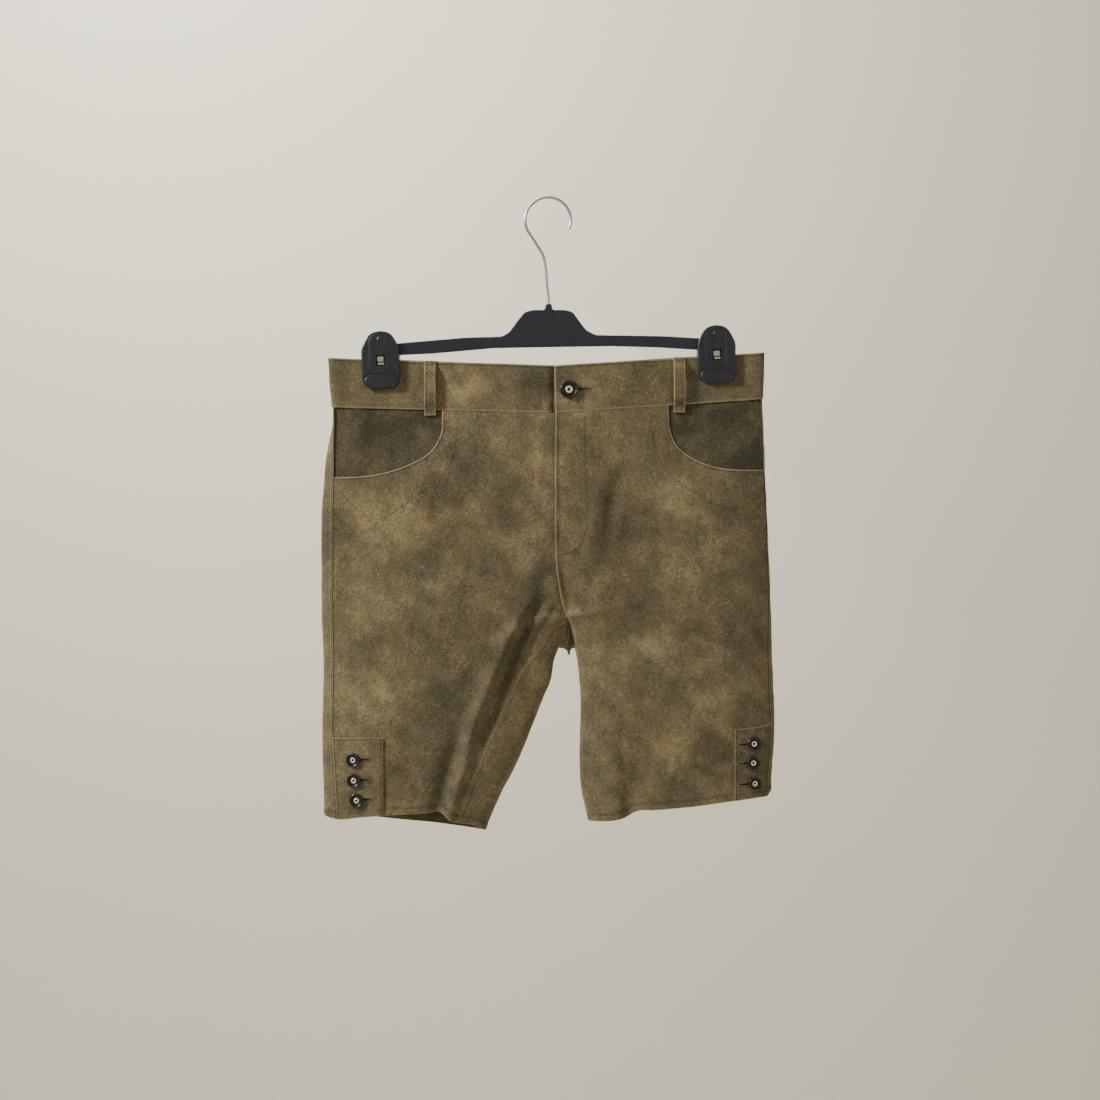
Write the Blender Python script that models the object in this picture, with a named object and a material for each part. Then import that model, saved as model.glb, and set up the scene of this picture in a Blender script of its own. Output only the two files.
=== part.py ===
"""Leather shorts (lederhosen) clipped to a trouser hanger.

The shorts hang flat by the waistband. Every panel is a leather wall whose outer face is worked out
from rows: a row is one trip round the body or the leg, and the tables below give each row its side
fold, its inner fold, its seams and its depth. The hanger is a plastic bar with two clips and a wire
hook. Tables and sizes are in millimetres, X to the wearer's left, Y to the back, Z up, and the
origin is the inside top of the hook, where a rail holds it. The mesh is made in metres.
"""

import math

import bmesh
import bpy
import numpy as np
from mathutils import Vector

MM = 0.001
LEATHER = 1.4
BAND_LEATHER = 3.0
PLACKET_LEATHER = 1.2
SEAM_GAP = 0.3
# Near the crotch point the gaps grow: all four panels', by share and reach in rows, and then the
# two backs' over the rows just above it, in millimetres, by row and reach in rows.
CROTCH_SHARE = 1.4
CROTCH_REACH = 1.2
BACK_GAP = 0.45
BACK_GAP_ROW = 10.2
BACK_GAP_REACH = 0.6
LENS_POWER = 2.5
FINE = 4
LEAST_COSINE = 0.72
SHARP_FROM = 40.0

# The seam down the centre front, and the seat seam from the centre back under the crotch.
# Both end at the crotch point, which is the last row.
CENTRE_COLUMNS = ("row", "front_x", "front_y", "front_z", "back_x", "back_y", "back_z")
CENTRE_SEAMS = (
    (0, 7.4, -11.4, -226.8, 5.0, 15.4, -225.0),
    (1, 7.0, -13.8, -254.0, 6.0, 19.5, -262.0),
    (2, 6.8, -16.0, -281.0, 7.0, 23.5, -300.0),
    (3, 6.8, -17.6, -308.0, 8.5, 27.0, -338.0),
    (4, 6.8, -18.0, -335.0, 10.5, 29.0, -374.0),
    (5, 7.0, -18.0, -362.0, 13.0, 30.0, -408.0),
    (6, 8.2, -17.2, -389.0, 16.0, 29.5, -438.0),
    (7, 11.5, -15.4, -412.0, 19.5, 26.5, -464.0),
    (8, 14.5, -12.4, -427.0, 21.3, 20.0, -476.0),
    (9, 17.3, -9.8, -434.6, 22.3, 8.5, -482.5),
    (10, 19.4, -8.2, -440.2, 22.0, -3.5, -471.0),
    (11, 21.0, -7.0, -445.0, 21.0, -7.0, -445.0),
)
SEAT_ROW = 9
CROTCH_ROW = 11
HEM_ROW = 20
SEAT_TURN = 340.0
CROTCH_TURN = 3.0
# How far along a row, in degrees, its end is drawn on to the seam, by row.
TAIL_ROWS = (9.0, 10.0, 11.0, 12.0)
TAIL_TURNS = (50.0, 18.0, 18.0, 30.0)
# Where the seat seam turns under the crotch the rows crowd together, so there the backs' grids are
# relaxed: by row (from 0 to 1 and back), by share of the row (from 0 to 1), and the passes.
RELAX_ROWS = (8.0, 9.0, 12.5, 14.0)
RELAX_SHARES = (0.5, 0.7)
RELAX_PASSES = 40
CURVE_SAMPLES = 700
SEAM_SAMPLES = 400

# Rows of each half: the height of the side fold, the side seam's distance from that fold, the inner
# fold (beyond the body until the crotch row), the inseam, and the depths before and behind.
# squeeze is 1 where the section is still pressed flat by the clips and 0 where it hangs free.
ROW_COLUMNS = (
    "row", "side_z", "seam_in", "inner_x", "inner_z", "inseam_x", "inseam_z", "inseam_turn",
    "front", "back", "squeeze",
)
RIGHT_ROWS = (
    (0, -220.3, 2.6, 244.0, 0, 0, 0, 0, 12.0, 16.0, 1.00),
    (1, -243.0, 5.5, 246.0, 0, 0, 0, 0, 14.5, 21.0, 0.82),
    (2, -267.0, 8.5, 248.0, 0, 0, 0, 0, 17.0, 25.0, 0.52),
    (3, -292.0, 11.0, 251.0, 0, 0, 0, 0, 18.5, 28.0, 0.24),
    (4, -317.0, 12.5, 253.0, 0, 0, 0, 0, 18.5, 30.0, 0.06),
    (5, -342.0, 13.0, 240.0, 0, 0, 0, 0, 18.0, 31.0, 0.00),
    (6, -366.0, 13.0, 170.0, 0, 0, 0, 0, 18.0, 30.0, 0.00),
    (7, -387.0, 13.0, 100.0, 0, 0, 0, 0, 18.0, 29.0, 0.00),
    (8, -402.0, 13.0, 52.0, 0, 0, 0, 0, 18.0, 27.5, 0.00),
    (9, -411.0, 13.0, 30.0, -484.0, 0, 0, 0, 18.0, 26.5, 0.00),
    (10, -419.0, 13.0, 21.2, -486.5, 0, 0, 0, 18.0, 26.0, 0.00),
    (11, -427.0, 13.0, 17.2, -489.0, 21.0, -445.0, 3.0, 18.0, 25.5, 0.00),
    (12, -441.0, 12.8, 12.4, -493.0, 8.4, -453.6, 17.8, 18.0, 25.0, 0.00),
    (13, -455.0, 12.6, 8.2, -499.5, 1.7, -461.0, 22.0, 18.0, 25.0, 0.00),
    (14, -473.0, 12.4, 3.4, -510.0, -8.4, -477.8, 27.0, 18.0, 24.5, 0.00),
    (15, -495.0, 12.0, -2.8, -525.0, -25.2, -499.8, 36.0, 18.0, 24.0, 0.00),
    (16, -516.0, 12.0, -10.1, -543.0, -34.7, -520.8, 39.0, 18.0, 23.5, 0.00),
    (17, -550.0, 12.0, -22.2, -573.0, -53.0, -559.7, 45.0, 17.5, 22.5, 0.00),
    (18, -583.0, 13.0, -34.3, -600.0, -67.2, -592.2, 48.0, 17.0, 21.5, 0.00),
    (19, -616.0, 14.5, -49.6, -629.0, -81.2, -627.4, 49.0, 16.5, 20.0, 0.00),
    (20, -649.0, 16.0, -66.0, -667.0, -92.4, -657.3, 46.0, 16.0, 18.0, 0.00),
)
LEFT_ROWS = (
    (0, -211.5, 1.6, -229.0, 0, 0, 0, 0, 12.0, 16.0, 1.00),
    (1, -234.0, 1.6, -230.0, 0, 0, 0, 0, 14.5, 21.0, 0.82),
    (2, -258.0, 1.8, -232.0, 0, 0, 0, 0, 17.0, 25.0, 0.52),
    (3, -283.0, 2.0, -234.0, 0, 0, 0, 0, 18.5, 28.0, 0.24),
    (4, -308.0, 2.2, -236.0, 0, 0, 0, 0, 18.5, 30.0, 0.06),
    (5, -333.0, 2.4, -222.0, 0, 0, 0, 0, 18.0, 31.0, 0.00),
    (6, -357.0, 2.6, -150.0, 0, 0, 0, 0, 18.0, 30.0, 0.00),
    (7, -378.0, 2.8, -70.0, 0, 0, 0, 0, 18.0, 29.0, 0.00),
    (8, -393.0, 3.0, -14.0, 0, 0, 0, 0, 18.0, 27.5, 0.00),
    (9, -402.0, 3.2, 13.0, -484.0, 0, 0, 0, 18.0, 26.5, 0.00),
    (10, -410.0, 3.4, 23.0, -486.5, 0, 0, 0, 18.0, 26.0, 0.00),
    (11, -418.0, 3.6, 26.0, -489.0, 21.0, -445.0, 3.0, 18.0, 25.5, 0.00),
    (12, -432.0, 4.0, 29.2, -492.5, 25.2, -456.8, 5.0, 18.0, 25.0, 0.00),
    (13, -446.0, 4.4, 31.0, -498.5, 27.4, -468.0, 4.0, 18.0, 25.0, 0.00),
    (14, -463.0, 4.8, 32.0, -507.0, 29.5, -481.0, 1.0, 18.0, 24.5, 0.00),
    (15, -484.0, 5.2, 33.5, -517.0, 32.6, -499.0, -4.0, 18.0, 24.0, 0.00),
    (16, -504.0, 5.4, 35.3, -535.0, 35.6, -523.0, -10.0, 18.0, 23.5, 0.00),
    (17, -535.0, 5.4, 35.0, -566.0, 37.6, -560.0, -16.0, 17.5, 22.5, 0.00),
    (18, -565.0, 5.2, 33.7, -595.0, 38.0, -592.0, -18.0, 17.0, 21.5, 0.00),
    (19, -595.0, 5.0, 35.2, -625.0, 40.0, -623.0, -18.0, 16.5, 20.0, 0.00),
    (20, -624.5, 4.6, 42.5, -657.0, 47.5, -655.0, -18.0, 16.0, 18.0, 0.00),
)

# Side folds of the garment, from the waistband's top to the hem.
FOLD_COLUMNS = ("z", "x")
RIGHT_FOLD = (
    (-168.0, -233.0), (-194.0, -230.4), (-220.3, -229.0), (-263.6, -234.2), (-301.4, -237.3),
    (-339.2, -239.4), (-427.4, -239.4), (-490.4, -237.3), (-566.0, -238.4), (-649.0, -237.0),
)
LEFT_FOLD = (
    (-162.4, 228.7), (-187.0, 227.6), (-211.5, 227.1), (-251.0, 228.9), (-288.8, 230.0),
    (-326.6, 232.0), (-377.0, 234.2), (-427.4, 236.3), (-490.4, 237.3), (-553.4, 239.4),
    (-578.6, 238.4), (-603.8, 236.3), (-624.5, 235.0),
)

# Depth of the squeezed section, measured in from the side fold: a small open loop at the fold, flat
# under the clip, then opening towards the centre of the waist.
SQUEEZE_COLUMNS = ("from_fold", "front", "back")
SQUEEZE = (
    (0.0, 4.6, 4.6), (4.6, 4.6, 4.6), (11.0, 4.4, 4.4), (20.0, 3.3, 3.3), (30.0, 2.9, 2.9),
    (78.0, 2.9, 2.9), (110.0, 4.6, 5.4), (160.0, 8.6, 11.0), (208.0, 11.4, 15.4),
    (240.0, 11.4, 15.4),
)
LOOP_RADIUS = 4.6

# Waistband: its two centre edges, each at the seam and at the top. It stands BAND_STEP proud of
# the panels. The right end steps in behind the left one over the jog and runs on as the underlap.
BAND_CENTRE_FRONT_Z = (-226.8, -176.9)
BAND_CENTRE_BACK_Z = (-225.0, -174.4)
BAND_CENTRE_FRONT_X = (7.4, 6.4)
BAND_CENTRE_BACK_X = (5.0, 4.4)
BAND_STEP = 0.4
BAND_UNDERLAP = 34.0
BAND_JOG = (0.6, 3.0, 5.5, 9.0)
BAND_JOG_CLEAR = 2.0
BAND_HEIGHTS = np.linspace(0, 1, 4)
BAND_SHARES = np.concatenate([
    np.linspace(0, 0.46, 17), np.linspace(0.468, 0.532, 11), np.linspace(0.54, 1, 17)
])

# Soft creases, each a line of (x, z) points, a half width, a height (out is positive) and the
# lengths over which it fades in and out.
RIGHT_FRONT_CREASES = (
    (((-25.2, -434), (-52.5, -488), (-80.9, -567), (-106.5, -653)), 13.0, 6.5, 60.0, 0.0),
    (((-4.2, -419), (-34.7, -479), (-52.5, -527), (-64.0, -562)), 11.0, -4.3, 42.0, 40.0),
    (((-78.0, -545), (-97.7, -591), (-113.0, -646)), 12.0, -6.5, 50.0, 0.0),
    (((-150.0, -470), (-165.0, -560), (-160.0, -640)), 34.0, 2.5, 60.0, 60.0),
    (((-40.0, -330), (-120.0, -400), (-190.0, -440)), 26.0, -2.2, 60.0, 60.0),
)
LEFT_FRONT_CREASES = (
    (((70.0, -560), (72.0, -610), (68.0, -655)), 15.0, 3.5, 60.0, 0.0),
    (((95.0, -570), (92.0, -615), (90.0, -645)), 11.0, -3.5, 50.0, 0.0),
    (((45.0, -452), (90.0, -470), (150.0, -505)), 18.0, -2.8, 30.0, 60.0),
    (((60.0, -330), (130.0, -390), (195.0, -430)), 26.0, -2.2, 60.0, 60.0),
    (((165.0, -500), (150.0, -570), (160.0, -630)), 34.0, 2.2, 60.0, 60.0),
)
RIGHT_BACK_CREASES = (
    (((10.0, -470), (-50.0, -485), (-120.0, -510)), 17.0, -4.5, 30.0, 70.0),
    (((-5.0, -440), (-70.0, -445), (-140.0, -455)), 17.0, -3.0, 30.0, 70.0),
    (((-90.0, -500), (-120.0, -580), (-125.0, -655)), 22.0, 3.5, 60.0, 0.0),
    (((-160.0, -250), (-140.0, -330), (-150.0, -420)), 40.0, 2.5, 60.0, 80.0),
)
LEFT_BACK_CREASES = (
    (((35.0, -470), (90.0, -483), (160.0, -500)), 17.0, -4.5, 30.0, 70.0),
    (((40.0, -438), (100.0, -440), (170.0, -450)), 17.0, -2.6, 30.0, 70.0),
    (((120.0, -500), (140.0, -570), (135.0, -640)), 24.0, 3.2, 60.0, 0.0),
    (((160.0, -250), (150.0, -330), (165.0, -420)), 40.0, 2.5, 60.0, 80.0),
)

# Creases start below the waist seam: from this row, and in full this many rows later.
SMOOTH_WAIST = (0.5, 3.0)

# Lift of the front hem between the folds of the right leg, as (x, lift).
LIFT_COLUMNS = ("x", "lift")
RIGHT_HEM_LIFT = (
    (-240.0, 0.0), (-222.0, -3.5), (-193.0, 1.0), (-150.0, 6.5), (-125.0, 9.0), (-112.0, 11.0),
    (-103.0, 3.0), (-92.0, 1.0), (-66.0, 0.0),
)
LEFT_HEM_LIFT = (
    (42.0, 0.0), (68.0, -2.5), (80.0, -2.0), (88.0, 3.0), (124.0, 0.5), (151.0, -1.5),
    (206.0, -3.0), (231.0, -4.0), (236.0, 0.0),
)
HEM_LIFT_ROW = 15

# Scoop openings of the front pockets by (x, z), from the waist seam to the side seam.
RIGHT_SCOOP = (
    (-111.6, -212.0), (-111.6, -242.0), (-115.6, -255.8), (-124.7, -268.6), (-140.5, -278.4),
    (-159.0, -286.0), (-181.7, -291.6), (-204.3, -293.9), (-252.0, -294.4),
)
LEFT_SCOOP = (
    (126.7, -208.0), (127.4, -238.0), (131.9, -254.6), (142.2, -267.8), (159.2, -277.9),
    (182.0, -284.8), (204.8, -286.5), (252.0, -285.9),
)
SCOOP_STEPS = 26
CUTTER_TOP = -190.0
CUTTER_DEPTHS = (-60.0, 30.0)
# The hip piece lies behind the front, this much larger than the scoop, clear of the side seam.
HIP_MARGIN = 14.0
HIP_EDGE_GAP = 0.45

# Leg vents: height of the placket's top and its inner edge.
RIGHT_PLACKET = {"top": -567.0, "inner_x": -172.0}
LEFT_PLACKET = {"top": -553.0, "inner_x": 195.0}
PLACKET_ROWS = 8
PLACKET_COLS = 6

# Buttons by (x, z) of their middles.
LEG_BUTTONS = (
    ("leg_button_right_top", -203.7, -590.4),
    ("leg_button_right_middle", -203.0, -611.9),
    ("leg_button_right_bottom", -200.1, -632.6),
    ("leg_button_left_top", 215.4, -573.6),
    ("leg_button_left_middle", 214.7, -593.6),
    ("leg_button_left_bottom", 216.2, -615.3),
)
WAIST_BUTTON = (22.05, -202.3)
WAIST_BUTTON_WIDTH = 19.5
LEG_BUTTON_WIDTH = 15.0
BUTTON_CLEAR = 0.25
# Half section of a button, as shares of its radius and heights off its back.
BUTTON_PROFILE = (
    (0.0, 0.0), (0.72, 0.0), (0.97, 1.0), (1.0, 2.2), (0.86, 3.3), (0.70, 2.5), (0.42, 1.7),
    (0.34, 2.3), (0.24, 2.3), (0.16, 1.5), (0.0, 1.5),
)
BUTTON_SIDES = 16
BUTTON_WELD = 0.005

# Belt loops: x, heights of the top and of the lower end, and the face (-1 front, 1 back).
BELT_LOOPS = (
    ("belt_loop_front_right", -124.2, -171.6, -228.9, -1),
    ("belt_loop_front_left", 138.3, -167.6, -225.6, -1),
    ("belt_loop_back_right", -132.0, -171.4, -228.6, 1),
    ("belt_loop_back_left", 141.0, -167.0, -225.0, 1),
    ("belt_loop_centre_back", 4.8, -173.8, -231.0, 1),
)
BELT_LOOP_WIDTH = 12.0
BELT_LOOP_LEATHER = 1.6
BELT_LOOP_STAND = 5.4
BELT_LOOP_SEAM = 0.88
# Stand of a loop off the band, as shares of its length and of the full stand.
BELT_LOOP_ARCH = (
    (0.0, 0.0), (0.07, 0.0), (0.15, 0.55), (0.22, 0.94), (0.30, 1.0), (0.68, 1.0),
    (0.76, 0.94), (0.82, 0.55), (0.89, 0.06), (0.95, 0.0), (1.0, 0.0),
)

# Hanger.
BAR_HALF = 3.2
BAR_TOP = (
    (197.4, -149.0), (156.5, -147.1), (114.5, -144.8), (50.4, -143.9), (40.6, -139.1),
    (34.2, -131.0), (26.3, -119.8), (18.2, -117.4), (4.5, -117.4), (4.5, -111.0), (-3.5, -111.0),
    (-3.5, -117.4), (-16.8, -117.4), (-24.9, -119.7), (-33.0, -129.5), (-41.0, -140.7),
    (-49.0, -145.5), (-87.2, -146.5), (-155.4, -152.3), (-197.0, -156.5),
)
BAR_BOTTOM = (
    (-197.0, -167.3), (-155.1, -164.9), (-121.3, -163.3), (-57.0, -157.6), (2.1, -156.5),
    (66.4, -155.5), (114.5, -156.8), (154.8, -159.2), (197.4, -161.7),
)
WIRE = 3.2
HOOK_RADIUS = 24.15
HOOK_CENTRE_Z = -22.55
HOOK_STEM = ((0.5, -110.7), (-1.0, -92.0), (-2.4, -74.6), (-4.6, -61.5), (-12.5, -47.3))
HOOK_SWEEP = (208.0, -22.0)
HOOK_STEPS = 34
STEM_STEPS = 16

# Clips: x and height of the dome's top, and the lean in degrees.
CLIPS = (
    ("right", -177.0, -140.2, -1.5),
    ("left", 176.5, -134.0, -1.5),
)
# Half outline of a jaw by (x, z) from its top: an arch, straight sides and rounded lower corners.
JAW_SIDE = (
    (6.0, -0.9), (10.5, -2.9), (13.2, -5.6), (15.2, -9.0), (17.2, -12.6), (18.9, -16.4),
    (19.7, -22.0), (20.0, -30.0), (20.0, -47.0), (19.4, -53.0), (16.8, -58.2), (12.2, -61.0),
)
JAW_NEAR = 3.6
JAW_FAR = 9.6
WINDOW = (-4.6, 4.6, -37.0, -26.0)
SPRING_GAP = 0.35
SPRING_SUNK = 0.8
CUT_PAST = 2.0


def columns(names, rows):
    """A table's rows as one array for each named column."""
    return {name: np.array([row[i] for row in rows], float) for i, name in enumerate(names)}


def smooth(at, stations, values):
    """Monotone cubic through (stations, values): slopes are harmonic means of the two spans."""
    order = np.argsort(stations)
    s = np.asarray(stations, float)[order]
    v = np.asarray(values, float)[order]
    at = np.clip(at, s[0], s[-1])
    step = np.diff(s)
    rise = np.diff(v) / step
    slope = np.zeros(len(s))
    same = rise[1:] * rise[:-1] > 0
    a = np.where(same, rise[:-1], 1.0)
    b = np.where(same, rise[1:], 1.0)
    slope[1:-1] = np.where(same, 2 * a * b / (a + b), 0.0)
    slope[0] = rise[0]
    slope[-1] = rise[-1]
    k = np.clip(np.searchsorted(s, at, side="right") - 1, 0, len(step) - 1)
    t = (at - s[k]) / step[k]
    h = step[k]
    return (
        v[k] * (1 + 2 * t) * (1 - t) ** 2
        + slope[k] * h * t * (1 - t) ** 2
        + v[k + 1] * t**2 * (3 - 2 * t)
        - slope[k + 1] * h * t**2 * (1 - t)
    )


def ease(t):
    """0 to 1 with level ends: 3 t^2 - 2 t^3."""
    t = np.clip(t, 0.0, 1.0)
    return t * t * (3 - 2 * t)


CENTRE = columns(CENTRE_COLUMNS, CENTRE_SEAMS)
SQUEEZED = columns(SQUEEZE_COLUMNS, SQUEEZE)


class Half:
    """One half of the shorts, cut at the centre seams."""

    def __init__(self, rows, fold, front_creases, back_creases, lift):
        self.rows = columns(ROW_COLUMNS, rows)
        self.fold = columns(FOLD_COLUMNS, fold)
        self.creases = {-1: front_creases, 1: back_creases}
        self.lift = columns(LIFT_COLUMNS, lift)
        self.out = np.sign(fold[0][1])

    def value(self, name, row):
        return float(smooth(row, self.rows["row"], self.rows[name]))

    def fold_x(self, z):
        return smooth(z, self.fold["z"], self.fold["x"])


RIGHT = Half(RIGHT_ROWS, RIGHT_FOLD, RIGHT_FRONT_CREASES, RIGHT_BACK_CREASES, RIGHT_HEM_LIFT)
LEFT = Half(LEFT_ROWS, LEFT_FOLD, LEFT_FRONT_CREASES, LEFT_BACK_CREASES, LEFT_HEM_LIFT)
HALVES = {"right": RIGHT, "left": LEFT}


def squeezed_depth(from_fold, face):
    """Depth of the clipped section: a quarter round at the fold, then the table."""
    side = "front" if face < 0 else "back"
    depth = smooth(from_fold, SQUEEZED["from_fold"], SQUEEZED[side])
    inside = np.clip(1 - from_fold / LOOP_RADIUS, 0.0, 1.0)
    return depth * np.sqrt(1 - inside**2)


def crease_height(creases, x, z):
    """Sum of soft ridges: height * exp(-(distance / half width)^2), faded at both ends."""
    total = np.zeros_like(x)
    for line, half_width, height, fade_in, fade_out in creases:
        points = np.array(line, float)
        spans = np.diff(points, axis=0)
        lengths = np.hypot(spans[:, 0], spans[:, 1])
        starts = np.concatenate([[0.0], np.cumsum(lengths)])
        best = np.full(x.shape, np.inf)
        along = np.zeros_like(x)
        for point, span, length, start in zip(points, spans, lengths, starts):
            t = np.clip(((x - point[0]) * span[0] + (z - point[1]) * span[1]) / length**2, 0, 1)
            distance = np.hypot(x - point[0] - t * span[0], z - point[1] - t * span[1])
            nearer = distance < best
            best = np.where(nearer, distance, best)
            along = np.where(nearer, start + t * length, along)
        whole = starts[-1]
        fade = np.ones_like(x)
        if fade_in:
            fade = fade * ease(along / fade_in)
        if fade_out:
            fade = fade * ease((whole - along) / fade_out)
        total += height * fade * np.exp(-((best / half_width) ** 2))
    return total


def row_curve(half, row):
    """Closed trip round a row by angle: 0 at the inner fold, pi at the side fold, front first.

    x runs between the folds by (1 - cos) / 2, the depth is a superellipse, and the ends are drawn
    onto the seams, each within its own reach.
    """
    side_z = half.value("side_z", row)
    side_x = float(half.fold_x(side_z))
    inner_x = half.value("inner_x", row)
    centre = {name: float(smooth(row, CENTRE["row"], CENTRE[name])) for name in CENTRE}
    closed = row >= CROTCH_ROW
    if closed:
        front_end = np.array([half.value("inseam_x", row), np.nan, half.value("inseam_z", row)])
        back_end = front_end.copy()
    else:
        front_end = np.array([centre["front_x"], centre["front_y"], centre["front_z"]])
        back_end = np.array([centre["back_x"], centre["back_y"], centre["back_z"]])
    width = side_x - inner_x
    if closed:
        start = math.radians(half.value("inseam_turn", row))
        stop = 2 * math.pi + start
    else:
        start = math.acos(np.clip(1 - 2 * (front_end[0] - inner_x) / width, -1, 1))
        share = (back_end[0] - inner_x) / width
        stop = 2 * math.pi - math.acos(np.clip(1 - 2 * share, -1, 1))
    if SEAT_ROW < row < CROTCH_ROW:
        past = (row - SEAT_ROW) / (CROTCH_ROW - SEAT_ROW)
        stop = math.radians(SEAT_TURN * (1 - past) + (360 + CROTCH_TURN) * past)
    if row >= SEAT_ROW:
        inner_z = half.value("inner_z", row)
    else:
        inner_z = side_z + (back_end[2] - side_z) * (inner_x - side_x) / (back_end[0] - side_x)

    def raw(angle):
        share = (1 - np.cos(angle)) / 2
        x = inner_x + width * share
        face = np.where(np.sin(angle) > 0, -1, 1)
        reach = np.where(face < 0, half.value("front", row), half.value("back", row))
        round_off = (1 - np.abs(np.cos(angle)) ** LENS_POWER) ** (1 / LENS_POWER)
        depth = reach * round_off
        squeeze = half.value("squeeze", row)
        if squeeze > 0:
            from_fold = np.abs(side_x - x)
            pressed = np.where(
                face < 0, squeezed_depth(from_fold, -1), squeezed_depth(from_fold, 1)
            )
            depth = (1 - squeeze) * depth + squeeze * pressed
        on_front = (angle < math.pi) & (angle >= start)
        z_front = front_end[2] + (side_z - front_end[2]) * (x - front_end[0]) / (
            side_x - front_end[0]
        )
        z_back = inner_z + (side_z - inner_z) * share
        z = np.where(on_front, z_front, np.where(angle > 2 * math.pi, inner_z, z_back))
        return np.stack([x, face * depth, z], axis=-1)

    first = raw(np.array([start]))[0]
    last = raw(np.array([stop]))[0]
    if closed:
        past = np.clip((row - CROTCH_ROW) / 2, 0, 1)
        seam_y = CENTRE["front_y"][-1] * (1 - past) + first[1] * past
        front_end[1] = seam_y
        back_end[1] = seam_y

    def curve(angle):
        points = raw(angle)
        lead = 1 - ease((angle - start) / (math.pi / 2))
        reach = np.interp(row, TAIL_ROWS, TAIL_TURNS)
        reach = max(math.radians(reach), start if closed else 0.0)
        tail = 1 - ease((stop - angle) / reach)
        points = points + np.outer(lead, front_end - first)
        points = points + np.outer(tail, back_end - last)
        share_down = ease((row - HEM_LIFT_ROW) / (HEM_ROW - HEM_LIFT_ROW))
        on_front = (angle < math.pi) & (angle >= start)
        lift = smooth(points[:, 0], half.lift["x"], half.lift["lift"]) * share_down
        points[:, 2] += np.where(on_front, lift, 0.0)
        return points

    return curve, start, stop


def seam_angle(half, row, curve, start):
    """Angle of the side seam: where the front face is seam_in from the side fold."""
    angles = np.linspace(max(start, math.pi / 2), math.pi, SEAM_SAMPLES)
    x = curve(angles)[:, 0]
    fold = x[-1]
    wanted = fold - half.out * half.value("seam_in", row)
    return float(np.interp(0.0, half.out * (x - wanted), angles))


def spaced(curve, first, last, shares):
    """Points of the curve at the given shares of its length."""
    angles = np.linspace(first, last, CURVE_SAMPLES)
    dense = curve(angles)
    lengths = np.concatenate([[0.0], np.cumsum(np.linalg.norm(np.diff(dense, axis=0), axis=1))])
    at = np.interp(shares * lengths[-1], lengths, angles)
    return curve(at)


def panel_points(half, face, rows, shares):
    """Outer face of a panel as a grid, rows down and shares across, with the creases laid in."""
    grid = []
    for row in rows:
        curve, start, stop = row_curve(half, row)
        seam = seam_angle(half, row, curve, start)
        if face < 0:
            grid.append(spaced(curve, start, seam, shares))
        else:
            grid.append(spaced(curve, seam, stop, shares))
    return np.array(grid)


def grid_normals(points, out_sign):
    """Unit normals of a grid from its central differences."""
    down = np.gradient(points, axis=0)
    across = np.gradient(points, axis=1)
    normal = np.cross(across, down) * out_sign
    return normal / np.linalg.norm(normal, axis=-1, keepdims=True)


def fine_rows(rows):
    """FINE steps between neighbouring rows."""
    parts = [np.linspace(a, b, FINE, endpoint=False) for a, b in zip(rows, rows[1:])]
    return np.concatenate(parts + [[rows[-1]]])


def unit(v):
    return v / np.linalg.norm(v, axis=-1, keepdims=True)


MESH_ROWS = np.concatenate([np.arange(0, 16), np.arange(16, HEM_ROW + 0.25, 0.5)])
FRONT_SHARES = np.concatenate([[0.0, 0.02], np.linspace(0.06, 1, 15)])
BACK_SHARES = np.concatenate([np.linspace(0, 0.95, 18), [0.972, 0.987, 1.0]])


def turned_to(facing):
    """How far a crease counts: 0 on the rounded edges, 1 where the face looks straight out."""
    return np.clip(1.6 * facing - 0.3, 0, 1)


def relaxed(points, rows, shares):
    """A back's grid with the points near the crotch drawn to the middle of their neighbours.

    The seam's own column stays where it is.
    """
    loose = np.interp(rows, RELAX_ROWS, (0, 1, 1, 0))[:, None] * np.interp(
        shares, RELAX_SHARES, (0, 1)
    )
    loose[:, -1] = 0
    steps = np.diff(shares)
    pull = (steps[1:] / (steps[:-1] + steps[1:]))[:, None]
    for _ in range(RELAX_PASSES):
        across, down = points.copy(), points.copy()
        across[:, 1:-1] = points[:, :-2] * pull + points[:, 2:] * (1 - pull)
        down[1:-1] = (points[:-2] + points[2:]) / 2
        points = points + loose[..., None] * ((across + down) / 2 - points)
    return points


def shell_fields(half):
    """Points and normals of the front and back outer faces of a half, creased."""
    fields = {}
    rows = fine_rows(MESH_ROWS)
    for face, shares in ((-1, FRONT_SHARES), (1, BACK_SHARES)):
        points = panel_points(half, face, rows, fine_rows(shares))
        if face > 0:
            points = relaxed(points, rows, fine_rows(shares))
        normals = grid_normals(points, -half.out)
        x, z = points[..., 0], points[..., 2]
        facing = face * normals[..., 1]
        waist_fade = ease((rows[:, None] - SMOOTH_WAIST[0]) / SMOOTH_WAIST[1])
        height = crease_height(half.creases[face], x, z) * turned_to(facing) * waist_fade
        if face > 0:
            wrapped = crease_height(half.creases[-1], x, z) * turned_to(-facing)
            height = height + wrapped * (rows[:, None] > CROTCH_ROW)
        points = points + normals * height[..., None]
        normals = grid_normals(points, -half.out)
        fields[face] = [points[::FINE, ::FINE], normals[::FINE, ::FINE]]
    return fields


def join_edges(edges):
    """Edges that meet at a seam share their points, and one normal that reaches the inner corner.

    The shared normal is the sum's direction, longer by 1 / cos of the half angle between the faces.
    """
    points = sum(field[0][at] for field, at in edges) / len(edges)
    middle = unit(sum(field[1][at] for field, at in edges))
    least = np.min([np.sum(field[1][at] * middle, axis=-1) for field, at in edges], axis=0)
    normal = middle / np.clip(least, LEAST_COSINE, 1.0)[..., None]
    for field, at in edges:
        field[0][at] = points
        field[1][at] = normal


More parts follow.
